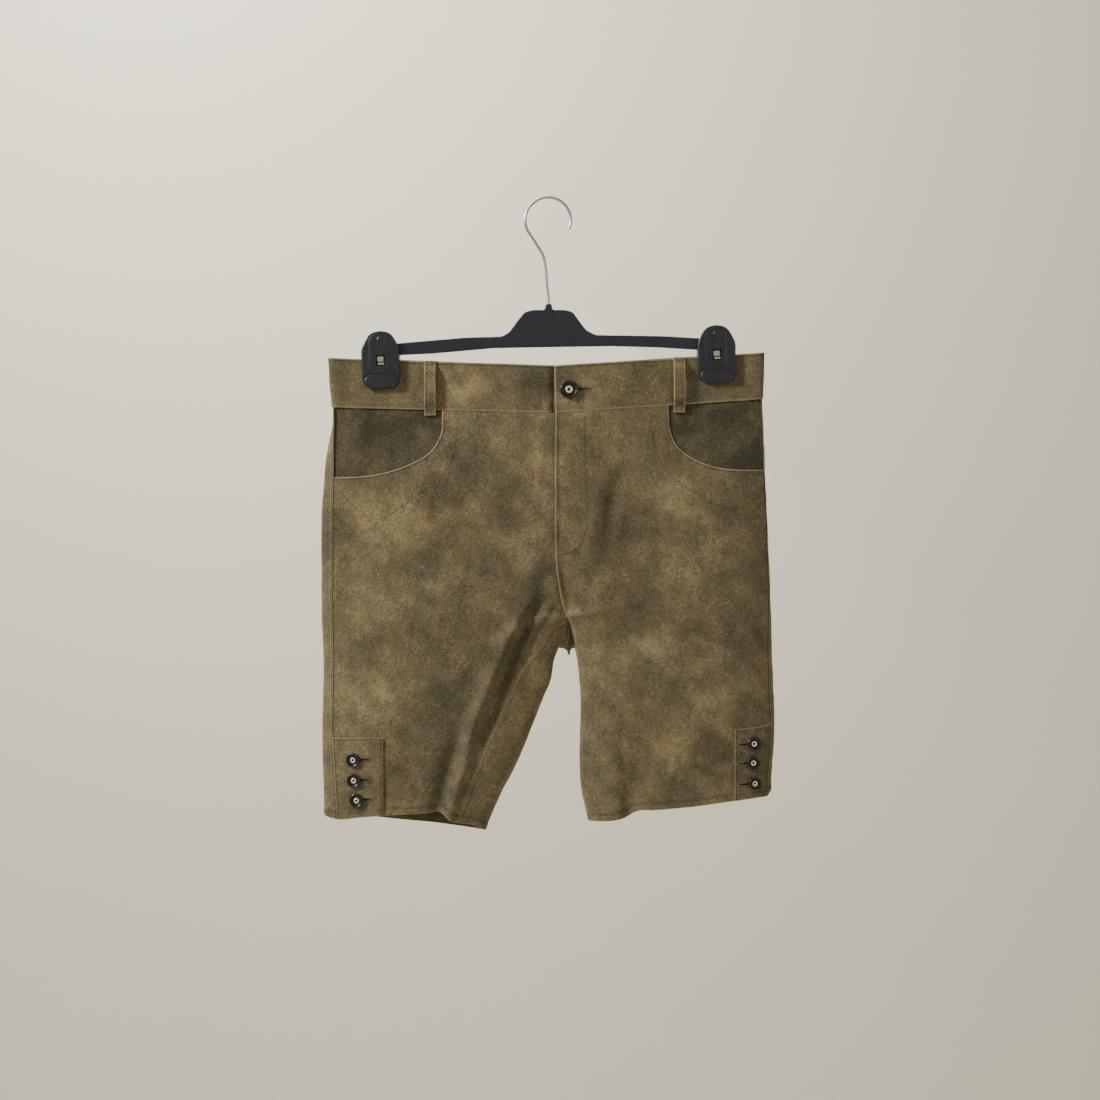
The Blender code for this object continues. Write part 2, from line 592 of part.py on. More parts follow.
def seam_together(fields):
    """Panels that meet at a seam take the same points and the same normals there."""
    crotch = int(np.argmax(MESH_ROWS == CROTCH_ROW))
    right, left = fields["right"], fields["left"]
    lower = slice(crotch + 1, None)
    upper = slice(0, crotch)
    for half in (right, left):
        everywhere = slice(None)
        join_edges([(half[-1], (everywhere, -1)), (half[1], (everywhere, 0))])
        join_edges([(half[-1], (lower, 0)), (half[1], (lower, -1))])
    for face, column in ((-1, 0), (1, -1)):
        join_edges([(right[face], (upper, column)), (left[face], (upper, column))])
    join_edges([
        (half[face], (crotch, column))
        for half in (right, left) for face, column in ((-1, 0), (1, -1))
    ])


def drawn_in(points, normals, gap):
    """Edges of a grid moved in by the gap, square to the edge and along the face.

    Where four panels meet at the crotch point the gap is wider.
    """
    moved = points.copy()
    wider = np.ones(len(points))
    if len(points) == len(MESH_ROWS):
        wider += CROTCH_SHARE * np.exp(-(((MESH_ROWS - CROTCH_ROW) / CROTCH_REACH) ** 2))
    for axis, index, neighbour in ((1, 0, 1), (1, -1, -2), (0, 0, 1), (0, -1, -2)):
        edge = np.take(points, index, axis=axis)
        inside = np.take(points, neighbour, axis=axis)
        normal = unit(np.take(normals, index, axis=axis))
        tangent = unit(np.gradient(edge, axis=0))
        step = inside - edge
        square = np.cross(normal, tangent)
        square = unit(square) * np.sign(np.sum(square * step, axis=-1, keepdims=True))
        if axis == 1:
            moved[:, index] += square * gap * wider[:, None]
        else:
            moved[index] += square * gap
    return moved


def wall(name, outer, normals, thickness, material):
    """Closed wall between a grid of outer points and the same grid moved in by the thickness.

    The rim's faces are split from the higher outer point, so two rims at one seam are alike.
    """
    inner = outer - normals * thickness
    rows, cols = outer.shape[:2]
    mesh = bpy.data.meshes.new(name)
    points = np.concatenate([outer.reshape(-1, 3), inner.reshape(-1, 3)]) * MM
    index = np.arange(rows * cols).reshape(rows, cols)
    under = index + rows * cols
    faces = []
    for i in range(rows - 1):
        for j in range(cols - 1):
            faces.append((index[i, j], index[i + 1, j], index[i + 1, j + 1], index[i, j + 1]))
            faces.append((under[i, j], under[i, j + 1], under[i + 1, j + 1], under[i + 1, j]))
    rim = np.concatenate([index[0, :-1], index[:-1, -1], index[-1, :0:-1], index[:0:-1, 0]])
    for a, b in zip(rim, np.roll(rim, -1)):
        in_a, in_b = a + rows * cols, b + rows * cols
        if points[a, 2] > points[b, 2]:
            faces += [(a, b, in_b), (a, in_b, in_a)]
        else:
            faces += [(a, b, in_a), (b, in_b, in_a)]
    mesh.from_pydata(points.tolist(), [], [tuple(int(i) for i in face) for face in faces])
    return finished(name, mesh, material)


def finished(name, mesh, material):
    """Object of a mesh, faces turned out, shaded smooth, with its material."""
    build = bmesh.new()
    build.from_mesh(mesh)
    bmesh.ops.recalc_face_normals(build, faces=build.faces)
    build.to_mesh(mesh)
    build.free()
    mesh.shade_smooth()
    mesh.set_sharp_from_angle(angle=math.radians(SHARP_FROM))
    mesh.materials.append(material)
    thing = bpy.data.objects.new(name, mesh)
    bpy.context.scene.collection.objects.link(thing)
    return thing


def finish(name, colour, roughness, metallic=0.0):
    """Principled material of one part."""
    material = bpy.data.materials.new(name)
    material.use_nodes = True
    shader = material.node_tree.nodes["Principled BSDF"]
    shader.inputs["Base Color"].default_value = (*colour, 1.0)
    shader.inputs["Roughness"].default_value = roughness
    shader.inputs["Metallic"].default_value = metallic
    material.diffuse_color = (*colour, 1.0)
    return material


def suede(name):
    return finish(name, (0.17, 0.13, 0.07), 0.9)


def prism(name, outline, near, far, material):
    """Solid between two Y planes with an (x, z) outline."""
    build = bmesh.new()
    front = [build.verts.new((x * MM, near * MM, z * MM)) for x, z in outline]
    face = build.faces.new(front)
    made = bmesh.ops.extrude_face_region(build, geom=[face])
    moved = [item for item in made["geom"] if isinstance(item, bmesh.types.BMVert)]
    bmesh.ops.translate(build, verts=moved, vec=(0, (far - near) * MM, 0))
    mesh = bpy.data.meshes.new(name)
    build.to_mesh(mesh)
    build.free()
    return finished(name, mesh, material)


def cut(thing, cutter):
    """Boolean difference with a cutter that isn't part of the object."""
    cutter.hide_render = True
    cutter.display_type = "WIRE"
    modifier = thing.modifiers.new("cut", "BOOLEAN")
    modifier.object = cutter
    modifier.operation = "DIFFERENCE"
    modifier.solver = "EXACT"


def rounded_line(points, steps):
    """Smooth curve through a few points, by chord length."""
    points = np.array(points, float)
    chord = np.concatenate([[0.0], np.cumsum(np.linalg.norm(np.diff(points, axis=0), axis=1))])
    at = np.linspace(0, chord[-1], steps)
    return np.stack([smooth(at, chord, points[:, i]) for i in range(points.shape[1])], axis=-1)


def scoop_cutter(side, scoop):
    """Everything beside and above the pocket's scoop, through the front and no further."""
    line = rounded_line(scoop, SCOOP_STEPS)
    corner = [(line[-1, 0], CUTTER_TOP), (line[0, 0], CUTTER_TOP)]
    outline = [tuple(point) for point in line] + corner
    return prism(f"scoop_{side}", outline, *CUTTER_DEPTHS, suede(f"scoop_{side}"))


def clothes(fields):
    """Fronts, backs, hip pieces and vent plackets of both halves."""
    scoops = {"right": RIGHT_SCOOP, "left": LEFT_SCOOP}
    plackets = {"right": RIGHT_PLACKET, "left": LEFT_PLACKET}
    for side, half in HALVES.items():
        front, front_out = fields[side][-1]
        back, back_out = fields[side][1]
        panel = wall(
            f"front_{side}", drawn_in(front, front_out, SEAM_GAP / 2), front_out, LEATHER,
            suede(f"front_{side}"),
        )
        cut(panel, scoop_cutter(side, scoops[side]))
        inset = drawn_in(back, back_out, SEAM_GAP / 2)
        near_crotch = np.exp(-(((MESH_ROWS - BACK_GAP_ROW) / BACK_GAP_REACH) ** 2))
        inset[:, -1, 0] += half.out * BACK_GAP * near_crotch
        wall(f"back_{side}", inset, back_out, LEATHER, suede(f"back_{side}"))
        hip_piece(side, half, scoops[side], front, front_out)
        placket(side, plackets[side], front, front_out)


def hip_piece(side, half, scoop, front, front_out):
    """Piece behind the scoop: the front's own points, moved in behind it."""
    inner_x = scoop[0][0] - half.out * HIP_MARGIN
    lowest_z = min(z for _, z in scoop) - HIP_MARGIN
    kept_rows = int(np.argmax(front[:, -1, 2] < lowest_z)) + 1
    kept = int(np.argmax(half.out * (front[2, :, 0] - inner_x) > 0)) - 1
    points = front[:kept_rows, kept:]
    normals = front_out[:kept_rows, kept:]
    behind = points - normals * (LEATHER + SEAM_GAP)
    wall(f"hip_piece_{side}", drawn_in(behind, normals, HIP_EDGE_GAP), normals, LEATHER,
         suede(f"hip_piece_{side}"))


def placket(side, size, front, front_out):
    """Vent placket: the front's own points beside the side seam, moved out on to it."""
    top = np.interp(size["top"], front[::-1, -1, 2], np.arange(len(front))[::-1])
    points, normals = [], []
    for at in np.linspace(top, len(front) - 1, PLACKET_ROWS):
        low = min(int(at), len(front) - 2)
        line, out = (
            field[low] * (1 - at + low) + field[low + 1] * (at - low) for field in (front, front_out)
        )
        order = np.argsort(line[:, 0])
        begin = np.interp(size["inner_x"], line[order, 0], order)
        place = np.linspace(begin, len(line) - 1, PLACKET_COLS)
        points.append([np.interp(place, np.arange(len(line)), line[:, k]) for k in range(3)])
        normals.append([np.interp(place, np.arange(len(line)), out[:, k]) for k in range(3)])
    points = np.array(points).transpose(0, 2, 1)
    normals = unit(np.array(normals).transpose(0, 2, 1))
    raised = points + normals * (SEAM_GAP + PLACKET_LEATHER)
    wall(f"vent_placket_{side}", drawn_in(raised, normals, SEAM_GAP / 2), normals,
         PLACKET_LEATHER, suede(f"vent_placket_{side}"))


def band_point(half, x, share, face):
    """Outer face of the waistband at x, share 0 at the seam and 1 at the top."""
    fold = [half.value("side_z", 0), half.fold["z"][np.argmax(half.fold["z"])]]
    fold_x = [float(half.fold_x(z)) for z in fold]
    centre_x = BAND_CENTRE_FRONT_X if face < 0 else BAND_CENTRE_BACK_X
    centre_z = BAND_CENTRE_FRONT_Z if face < 0 else BAND_CENTRE_BACK_Z
    out_x = fold_x[0] + (fold_x[1] - fold_x[0]) * share
    in_x = centre_x[0] + (centre_x[1] - centre_x[0]) * share
    out_z = fold[0] + (fold[1] - fold[0]) * share
    in_z = centre_z[0] + (centre_z[1] - centre_z[0]) * share
    z = in_z + (out_z - in_z) * (x - in_x) / (out_x - in_x)
    depth = squeezed_depth(np.abs(out_x - x), face)
    grown = BAND_STEP * np.clip(np.abs(out_x - x) / LOOP_RADIUS, 0, 1)
    return np.stack([x, face * (depth + grown), z], axis=-1), out_x, in_x


def band_row(half, share):
    """One line round the waistband from the centre front to the centre back."""
    _, out_x, front_x = band_point(half, np.zeros(1), share, -1)
    _, _, back_x = band_point(half, np.zeros(1), share, 1)
    turn = np.linspace(0, math.pi / 2, CURVE_SAMPLES)
    x_front = front_x + (out_x - front_x) * np.sin(turn)
    x_back = back_x + (out_x - back_x) * np.sin(turn[::-1])
    front, _, _ = band_point(half, x_front, share, -1)
    back, _, _ = band_point(half, x_back, share, 1)
    line = np.concatenate([front, back[1:]])
    lengths = np.concatenate([[0.0], np.cumsum(np.linalg.norm(np.diff(line, axis=0), axis=1))])
    at = BAND_SHARES * lengths[-1]
    return np.stack([np.interp(at, lengths, line[:, k]) for k in range(3)], axis=-1)


def waistbands():
    """Double leather band of each half. The right one runs on behind the left one's end."""
    for side, half in HALVES.items():
        grid = np.array([band_row(half, height) for height in BAND_HEIGHTS])
        if side == "right":
            grid = with_underlap(grid)
        normals = grid_normals(grid, half.out)
        grid = drawn_in(grid, normals, SEAM_GAP / 2)
        wall(f"waistband_{side}", grid, normals, BAND_LEATHER, suede(f"waistband_{side}"))


def with_underlap(grid):
    """The band's end stepped in behind the other half's and carried on under it."""
    sunk = BAND_LEATHER + SEAM_GAP
    rows = []
    for line, share in zip(grid, BAND_HEIGHTS):
        _, _, end_x = band_point(LEFT, np.zeros(1), share, -1)
        under_x = end_x + np.linspace(BAND_UNDERLAP, 0, 7)[:-1]
        under, _, _ = band_point(LEFT, under_x, share, -1)
        under[:, 1] += sunk
        jog_x = end_x - np.array(BAND_JOG)
        jog, _, _ = band_point(RIGHT, jog_x, share, -1)
        jog[:, 1] += sunk * ease((jog_x - jog_x[-1]) / (jog_x[0] - jog_x[-1]))
        kept = line[(line[:, 0] < jog_x[-1] - BAND_JOG_CLEAR) | (line[:, 1] > 0)]
        rows.append(np.concatenate([under, jog, kept]))
    return np.array(rows)


def belt_loops(fields):
    """Strips that stand off the band between their two sewn ends, the lower one past the seam."""
    for name, x, top, end, face in BELT_LOOPS:
        side = "right" if name.endswith("right") else "left"
        half = HALVES[side]
        across = x + np.linspace(-0.5, 0.5, 3) * BELT_LOOP_WIDTH
        grid = []
        for along, stand in BELT_LOOP_ARCH:
            z = top + (end - top) * along
            band = band_point(half, across, 0.5, face)[0][:, 1] * face
            panel = [face_at(fields[side][face], at, z)[0][1] * face for at in across]
            seat = np.maximum(band, panel if along > BELT_LOOP_SEAM else band)
            clear = SEAM_GAP + BELT_LOOP_STAND * stand + BELT_LOOP_LEATHER
            grid.append(np.stack([across, face * (seat + clear), np.full(3, z)], -1))
        grid = np.array(grid)
        normals = grid_normals(grid, 1.0)
        normals *= np.sign(np.sum(normals[..., 1]) * face)
        wall(name, grid, normals, BELT_LOOP_LEATHER, suede(name))


def button(name, seat, out, width):
    """Turned horn button: flat back, raised rim, dished face and a small middle ring."""
    build = bmesh.new()
    verts = [build.verts.new((share * width / 2 * MM, 0, h * MM)) for share, h in BUTTON_PROFILE]
    edges = [build.edges.new(pair) for pair in zip(verts, verts[1:])]
    bmesh.ops.spin(build, geom=verts + edges, cent=(0, 0, 0), axis=(0, 0, 1),
                   angle=math.tau, steps=BUTTON_SIDES, use_merge=True)
    bmesh.ops.remove_doubles(build, verts=build.verts, dist=BUTTON_WELD * MM)
    mesh = bpy.data.meshes.new(name)
    build.to_mesh(mesh)
    build.free()
    thing = finished(name, mesh, finish(name, (0.035, 0.024, 0.018), 0.35))
    thing.location = tuple(float(v) * MM for v in seat)
    thing.rotation_euler = Vector(out).to_track_quat("Z", "Y").to_euler()
    return thing


def face_at(field, x, z):
    """Point and normal of a panel's outer face at (x, z)."""
    points, normals = field
    crossing = []
    for line, out in zip(points, normals):
        order = np.argsort(line[:, 0])
        both = np.concatenate([line, out], axis=1)[order]
        crossing.append([np.interp(x, both[:, 0], both[:, k]) for k in range(6)])
    crossing = np.array(crossing)[::-1]
    found = np.array([np.interp(z, crossing[:, 2], crossing[:, k]) for k in range(6)])
    return np.array([x, found[1], z]), unit(found[3:])


def buttons(fields):
    """Waist button on the band, three on each vent placket, each flat on what it is sewn to."""
    x, z = WAIST_BUTTON
    reach = WAIST_BUTTON_WIDTH / 2
    near, far = (band_point(LEFT, np.array([x + dx]), 0.5, -1)[0][0] for dx in (-reach, reach))
    out = unit(np.array([far[1] - near[1], near[0] - far[0], 0.0]))
    middle = band_point(LEFT, np.array([x]), 0.5, -1)[0][0]
    seat = np.array([x, middle[1], z]) + out * (SEAM_GAP + BUTTON_CLEAR)
    button("button_waist", seat, out, WAIST_BUTTON_WIDTH)
    for name, x, z in LEG_BUTTONS:
        side = "left" if x > 0 else "right"
        seat, out = face_at(fields[side][-1], x, z)
        seat = seat + out * (PLACKET_LEATHER + 2 * SEAM_GAP + BUTTON_CLEAR)
        button(name, seat, out, LEG_BUTTON_WIDTH)


def plastic(name):
    return finish(name, (0.022, 0.026, 0.032), 0.38)


def hanger():
    """Bar with its raised middle, and the wire hook that stands in it."""
    prism("hanger_bar", BAR_TOP + BAR_BOTTOM, -BAR_HALF, BAR_HALF, plastic("hanger_bar"))
    begin, end = (math.radians(a) for a in HOOK_SWEEP)
    turn = np.linspace(begin, end, HOOK_STEPS)
    ring = np.stack([HOOK_RADIUS * np.cos(turn), HOOK_CENTRE_Z + HOOK_RADIUS * np.sin(turn)], -1)
    stem = rounded_line(HOOK_STEM + (tuple(ring[0]),), STEM_STEPS)
    route = np.concatenate([stem[:-1], ring])
    curve = bpy.data.curves.new("hanger_hook", "CURVE")
    curve.dimensions = "3D"
    curve.bevel_depth = WIRE / 2 * MM
    curve.bevel_resolution = 2
    curve.use_fill_caps = True
    spline = curve.splines.new("POLY")
    spline.points.add(len(route) - 1)
    for point, (x, z) in zip(spline.points, route):
        point.co = (x * MM, 0, z * MM, 1)
    curve.materials.append(finish("hanger_hook", (0.55, 0.55, 0.54), 0.3, 1.0))
    thing = bpy.data.objects.new("hanger_hook", curve)
    bpy.context.scene.collection.objects.link(thing)


def jaw_outline():
    """Both sides of a jaw and its top, with z down from the top."""
    return [(0.0, 0.0), *JAW_SIDE] + [(-x, z) for x, z in JAW_SIDE[::-1]]


def clips():
    """Two plastic jaws and the bright spring of each clip."""
    left, right, low, high = WINDOW
    window = ((left, low), (right, low), (right, high), (left, high))
    gap = SPRING_GAP
    spring = (
        (left + gap, low + gap), (right - gap, low + gap), (right - gap, high - gap),
        (left + gap, high - gap),
    )
    for side, x, z, lean in CLIPS:
        pieces = (
            (f"clip_front_{side}", jaw_outline(), -JAW_FAR, -JAW_NEAR, plastic),
            (f"clip_back_{side}", jaw_outline(), JAW_NEAR, JAW_FAR, plastic),
            (f"clip_spring_{side}", spring, -JAW_FAR + SPRING_SUNK, -JAW_NEAR, nickel),
        )
        made = [
            prism(name, outline, near, far, look(name)) for name, outline, near, far, look in pieces
        ]
        cutter = prism(
            f"window_{side}", window, -JAW_FAR - CUT_PAST, -JAW_NEAR + CUT_PAST, plastic("window")
        )
        for thing in made + [cutter]:
            thing.location = (x * MM, 0, z * MM)
            thing.rotation_euler = (0, math.radians(lean), 0)
        cut(made[0], cutter)


def nickel(name):
    return finish(name, (0.6, 0.57, 0.5), 0.3, 1.0)


def main():
    for thing in list(bpy.data.objects):
        bpy.data.objects.remove(thing, do_unlink=True)
    fields = {side: shell_fields(half) for side, half in HALVES.items()}
    seam_together(fields)
    clothes(fields)
    waistbands()
    belt_loops(fields)
    buttons(fields)
    hanger()
    clips()


main()
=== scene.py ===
import math

import bpy
import numpy as np
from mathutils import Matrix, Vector
from mathutils.bvhtree import BVHTree


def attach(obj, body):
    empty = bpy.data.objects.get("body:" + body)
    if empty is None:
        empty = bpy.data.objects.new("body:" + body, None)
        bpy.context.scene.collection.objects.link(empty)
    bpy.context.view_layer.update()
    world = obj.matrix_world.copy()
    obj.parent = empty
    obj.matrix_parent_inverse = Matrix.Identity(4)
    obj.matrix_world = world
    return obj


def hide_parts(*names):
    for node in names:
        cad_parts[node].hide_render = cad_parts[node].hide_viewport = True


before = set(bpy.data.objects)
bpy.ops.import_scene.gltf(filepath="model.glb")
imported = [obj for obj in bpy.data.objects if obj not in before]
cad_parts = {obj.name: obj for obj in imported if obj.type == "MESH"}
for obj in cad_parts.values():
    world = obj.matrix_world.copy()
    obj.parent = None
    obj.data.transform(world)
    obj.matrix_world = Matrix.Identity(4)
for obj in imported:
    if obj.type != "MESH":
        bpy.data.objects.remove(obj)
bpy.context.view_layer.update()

# The hang of the shorts: the shape that every cloth piece is laid on. It comes from trips round the
# body and the legs, one a row, between the side fold and the inner fold, as on the solids.
# Lengths in this script are millimetres until a mesh is made of them.

MM = 0.001
LEATHER = 1.4
BAND_LEATHER = 3.0
LENS_POWER = 2.5
SEAT_ROW, CROTCH_ROW, LIFT_ROW, HEM_ROW = 9, 11, 15, 20
SEAT_TURN, CROTCH_TURN = 340.0, 3.0
TAIL_ROWS, TAIL_TURNS = (9.0, 10.0, 11.0, 12.0), (50.0, 18.0, 18.0, 30.0)
RELAX_ROWS, RELAX_SHARES, RELAX_PASSES = (8.0, 9.0, 12.5, 14.0), (0.5, 0.7), 40
FINE = 4
FOLD_SAMPLES, TRIP_SAMPLES = 400, 700
FOLD_RADIUS = 4.6
HANG_ROWS = np.concatenate([np.arange(0, 16), np.arange(16, HEM_ROW + 0.25, 0.5)])

CENTRE_SEAMS = np.array([
    # row, front x, y, z, back x, y, z
    (0, 7.4, -11.4, -226.8, 5.0, 15.4, -225.0),
    (1, 7.0, -13.8, -254.0, 6.0, 19.5, -262.0),
    (2, 6.8, -16.0, -281.0, 7.0, 23.5, -300.0),
    (3, 6.8, -17.6, -308.0, 8.5, 27.0, -338.0),
    (4, 6.8, -18.0, -335.0, 10.5, 29.0, -374.0),
    (5, 7.0, -18.0, -362.0, 13.0, 30.0, -408.0),
    (6, 8.2, -17.2, -389.0, 16.0, 29.5, -438.0),
    (7, 11.5, -15.4, -412.0, 19.5, 26.5, -464.0),
    (8, 14.5, -12.4, -427.0, 21.3, 20.0, -476.0),
    (9, 17.3, -9.8, -434.6, 22.3, 8.5, -482.5),
    (10, 19.4, -8.2, -440.2, 22.0, -3.5, -471.0),
    (11, 21.0, -7.0, -445.0, 21.0, -7.0, -445.0),
]).T

# Rows of both halves: depths before and behind, and how far the clips still press the row flat.
# Rows of each half: side height, seam in from the fold, inner fold x and z, inseam x, z and turn.
ROW_NAMES = (
    "row", "side_z", "seam_in", "inner_x", "inner_z", "inseam_x", "inseam_z", "inseam_turn",
    "front", "back", "squeeze",
)
ROW_DEPTHS = (
    (12.0, 16.0, 1.00), (14.5, 21.0, 0.82), (17.0, 25.0, 0.52), (18.5, 28.0, 0.24),
    (18.5, 30.0, 0.06), (18.0, 31.0, 0.00), (18.0, 30.0, 0.00), (18.0, 29.0, 0.00),
    (18.0, 27.5, 0.00), (18.0, 26.5, 0.00), (18.0, 26.0, 0.00), (18.0, 25.5, 0.00),
    (18.0, 25.0, 0.00), (18.0, 25.0, 0.00), (18.0, 24.5, 0.00), (18.0, 24.0, 0.00),
    (18.0, 23.5, 0.00), (17.5, 22.5, 0.00), (17.0, 21.5, 0.00), (16.5, 20.0, 0.00),
    (16.0, 18.0, 0.00),
)
RIGHT_ROWS = (
    (-220.3, 2.6, 244.0, 0, 0, 0, 0),
    (-243.0, 5.5, 246.0, 0, 0, 0, 0),
    (-267.0, 8.5, 248.0, 0, 0, 0, 0),
    (-292.0, 11.0, 251.0, 0, 0, 0, 0),
    (-317.0, 12.5, 253.0, 0, 0, 0, 0),
    (-342.0, 13.0, 240.0, 0, 0, 0, 0),
    (-366.0, 13.0, 170.0, 0, 0, 0, 0),
    (-387.0, 13.0, 100.0, 0, 0, 0, 0),
    (-402.0, 13.0, 52.0, 0, 0, 0, 0),
    (-411.0, 13.0, 30.0, -484.0, 0, 0, 0),
    (-419.0, 13.0, 21.2, -486.5, 0, 0, 0),
    (-427.0, 13.0, 17.2, -489.0, 21.0, -445.0, 3.0),
    (-441.0, 12.8, 12.4, -493.0, 8.4, -453.6, 17.8),
    (-455.0, 12.6, 8.2, -499.5, 1.7, -461.0, 22.0),
    (-473.0, 12.4, 3.4, -510.0, -8.4, -477.8, 27.0),
    (-495.0, 12.0, -2.8, -525.0, -25.2, -499.8, 36.0),
    (-516.0, 12.0, -10.1, -543.0, -34.7, -520.8, 39.0),
    (-550.0, 12.0, -22.2, -573.0, -53.0, -559.7, 45.0),
    (-583.0, 13.0, -34.3, -600.0, -67.2, -592.2, 48.0),
    (-616.0, 14.5, -49.6, -629.0, -81.2, -627.4, 49.0),
    (-649.0, 16.0, -66.0, -667.0, -92.4, -657.3, 46.0),
)
LEFT_ROWS = (
    (-211.5, 1.6, -229.0, 0, 0, 0, 0),
    (-234.0, 1.6, -230.0, 0, 0, 0, 0),
    (-258.0, 1.8, -232.0, 0, 0, 0, 0),
    (-283.0, 2.0, -234.0, 0, 0, 0, 0),
    (-308.0, 2.2, -236.0, 0, 0, 0, 0),
    (-333.0, 2.4, -222.0, 0, 0, 0, 0),
    (-357.0, 2.6, -150.0, 0, 0, 0, 0),
    (-378.0, 2.8, -70.0, 0, 0, 0, 0),
    (-393.0, 3.0, -14.0, 0, 0, 0, 0),
    (-402.0, 3.2, 13.0, -484.0, 0, 0, 0),
    (-410.0, 3.4, 23.0, -486.5, 0, 0, 0),
    (-418.0, 3.6, 26.0, -489.0, 21.0, -445.0, 3.0),
    (-432.0, 4.0, 29.2, -492.5, 25.2, -456.8, 5.0),
    (-446.0, 4.4, 31.0, -498.5, 27.4, -468.0, 4.0),
    (-463.0, 4.8, 32.0, -507.0, 29.5, -481.0, 1.0),
    (-484.0, 5.2, 33.5, -517.0, 32.6, -499.0, -4.0),
    (-504.0, 5.4, 35.3, -535.0, 35.6, -523.0, -10.0),
    (-535.0, 5.4, 35.0, -566.0, 37.6, -560.0, -16.0),
    (-565.0, 5.2, 33.7, -595.0, 38.0, -592.0, -18.0),
    (-595.0, 5.0, 35.2, -625.0, 40.0, -623.0, -18.0),
    (-624.5, 4.6, 42.5, -657.0, 47.5, -655.0, -18.0),
)
# Side folds by (z, x), from the band's top to the hem.
RIGHT_FOLD = (
    (-168.0, -233.0), (-194.0, -230.4), (-220.3, -229.0), (-263.6, -234.2), (-301.4, -237.3),
    (-339.2, -239.4), (-427.4, -239.4), (-490.4, -237.3), (-566.0, -238.4), (-649.0, -237.0),
)
LEFT_FOLD = (
    (-162.4, 228.7), (-187.0, 227.6), (-211.5, 227.1), (-251.0, 228.9), (-288.8, 230.0),
    (-326.6, 232.0), (-377.0, 234.2), (-427.4, 236.3), (-490.4, 237.3), (-553.4, 239.4),
    (-578.6, 238.4), (-603.8, 236.3), (-624.5, 235.0),
)
# Lift of the front hem by x.
RIGHT_LIFT = (
    (-240.0, 0.0), (-222.0, -3.5), (-193.0, 1.0), (-150.0, 6.5), (-125.0, 9.0), (-112.0, 11.0),
    (-103.0, 3.0), (-92.0, 1.0), (-66.0, 0.0),
)
LEFT_LIFT = (
    (42.0, 0.0), (68.0, -2.5), (80.0, -2.0), (88.0, 3.0), (124.0, 0.5), (151.0, -1.5),
    (206.0, -3.0), (231.0, -4.0), (236.0, 0.0),
)
# Clipped section: distance in from the side fold, depth before and behind.
SQUEEZED = (
    (0.0, 4.6, 4.6), (4.6, 4.6, 4.6), (11.0, 4.4, 4.4), (20.0, 3.3, 3.3), (30.0, 2.9, 2.9),
    (78.0, 2.9, 2.9), (110.0, 4.6, 5.4), (160.0, 8.6, 11.0), (208.0, 11.4, 15.4),
    (240.0, 11.4, 15.4),
)


def smooth(at, stations, values):
    """Monotone cubic through (stations, values): slopes are harmonic means of the two spans."""
    order = np.argsort(stations)
    s = np.asarray(stations, float)[order]
    v = np.asarray(values, float)[order]
    at = np.clip(at, s[0], s[-1])
    step = np.diff(s)
    rise = np.diff(v) / step
    slope = np.zeros(len(s))
    same = rise[1:] * rise[:-1] > 0
    a = np.where(same, rise[:-1], 1.0)
    b = np.where(same, rise[1:], 1.0)
    slope[1:-1] = np.where(same, 2 * a * b / (a + b), 0.0)
    slope[0], slope[-1] = rise[0], rise[-1]
    k = np.clip(np.searchsorted(s, at, side="right") - 1, 0, len(step) - 1)
    t, h = (at - s[k]) / step[k], step[k]
    return (
        v[k] * (1 + 2 * t) * (1 - t) ** 2 + slope[k] * h * t * (1 - t) ** 2
        + v[k + 1] * t**2 * (3 - 2 * t) - slope[k + 1] * h * t**2 * (1 - t)
    )


def ease(t):
    """0 to 1 with level ends: 3 t^2 - 2 t^3."""
    t = np.clip(t, 0.0, 1.0)
    return t * t * (3 - 2 * t)


def unit(v):
    return v / np.maximum(np.linalg.norm(v, axis=-1, keepdims=True), 1e-9)


def arc(line):
    """Length along a line of points up to each of them."""
    return np.concatenate([[0.0], np.cumsum(np.linalg.norm(np.diff(line, axis=0), axis=1))])


def along(line, at):
    """Points of a line at the given lengths."""
    lengths = arc(line)
    return np.stack([np.interp(at, lengths, line[:, k]) for k in range(line.shape[1])], axis=-1)


class Half:
    """One half of the shorts, cut at the centre seams."""

    def __init__(self, rows, fold, lift):
        table = np.column_stack([np.arange(len(rows)), rows, ROW_DEPTHS])
        self.rows = dict(zip(ROW_NAMES, table.T))
        self.fold = np.array(fold).T
        self.lift = np.array(lift).T
        self.out = np.sign(fold[0][1])

    def value(self, name, row):
        return float(smooth(row, self.rows["row"], self.rows[name]))

    def fold_x(self, z):
        return smooth(z, self.fold[0], self.fold[1])


RIGHT = Half(RIGHT_ROWS, RIGHT_FOLD, RIGHT_LIFT)
LEFT = Half(LEFT_ROWS, LEFT_FOLD, LEFT_LIFT)
HALVES = {"right": RIGHT, "left": LEFT}


def squeezed_depth(from_fold, face):
    """Depth of the clipped section: a quarter round at the fold, then the table."""
    table = np.array(SQUEEZED).T
    depth = smooth(from_fold, table[0], table[1 if face < 0 else 2])
    inside = np.clip(1 - from_fold / FOLD_RADIUS, 0.0, 1.0)
    return depth * np.sqrt(1 - inside**2)


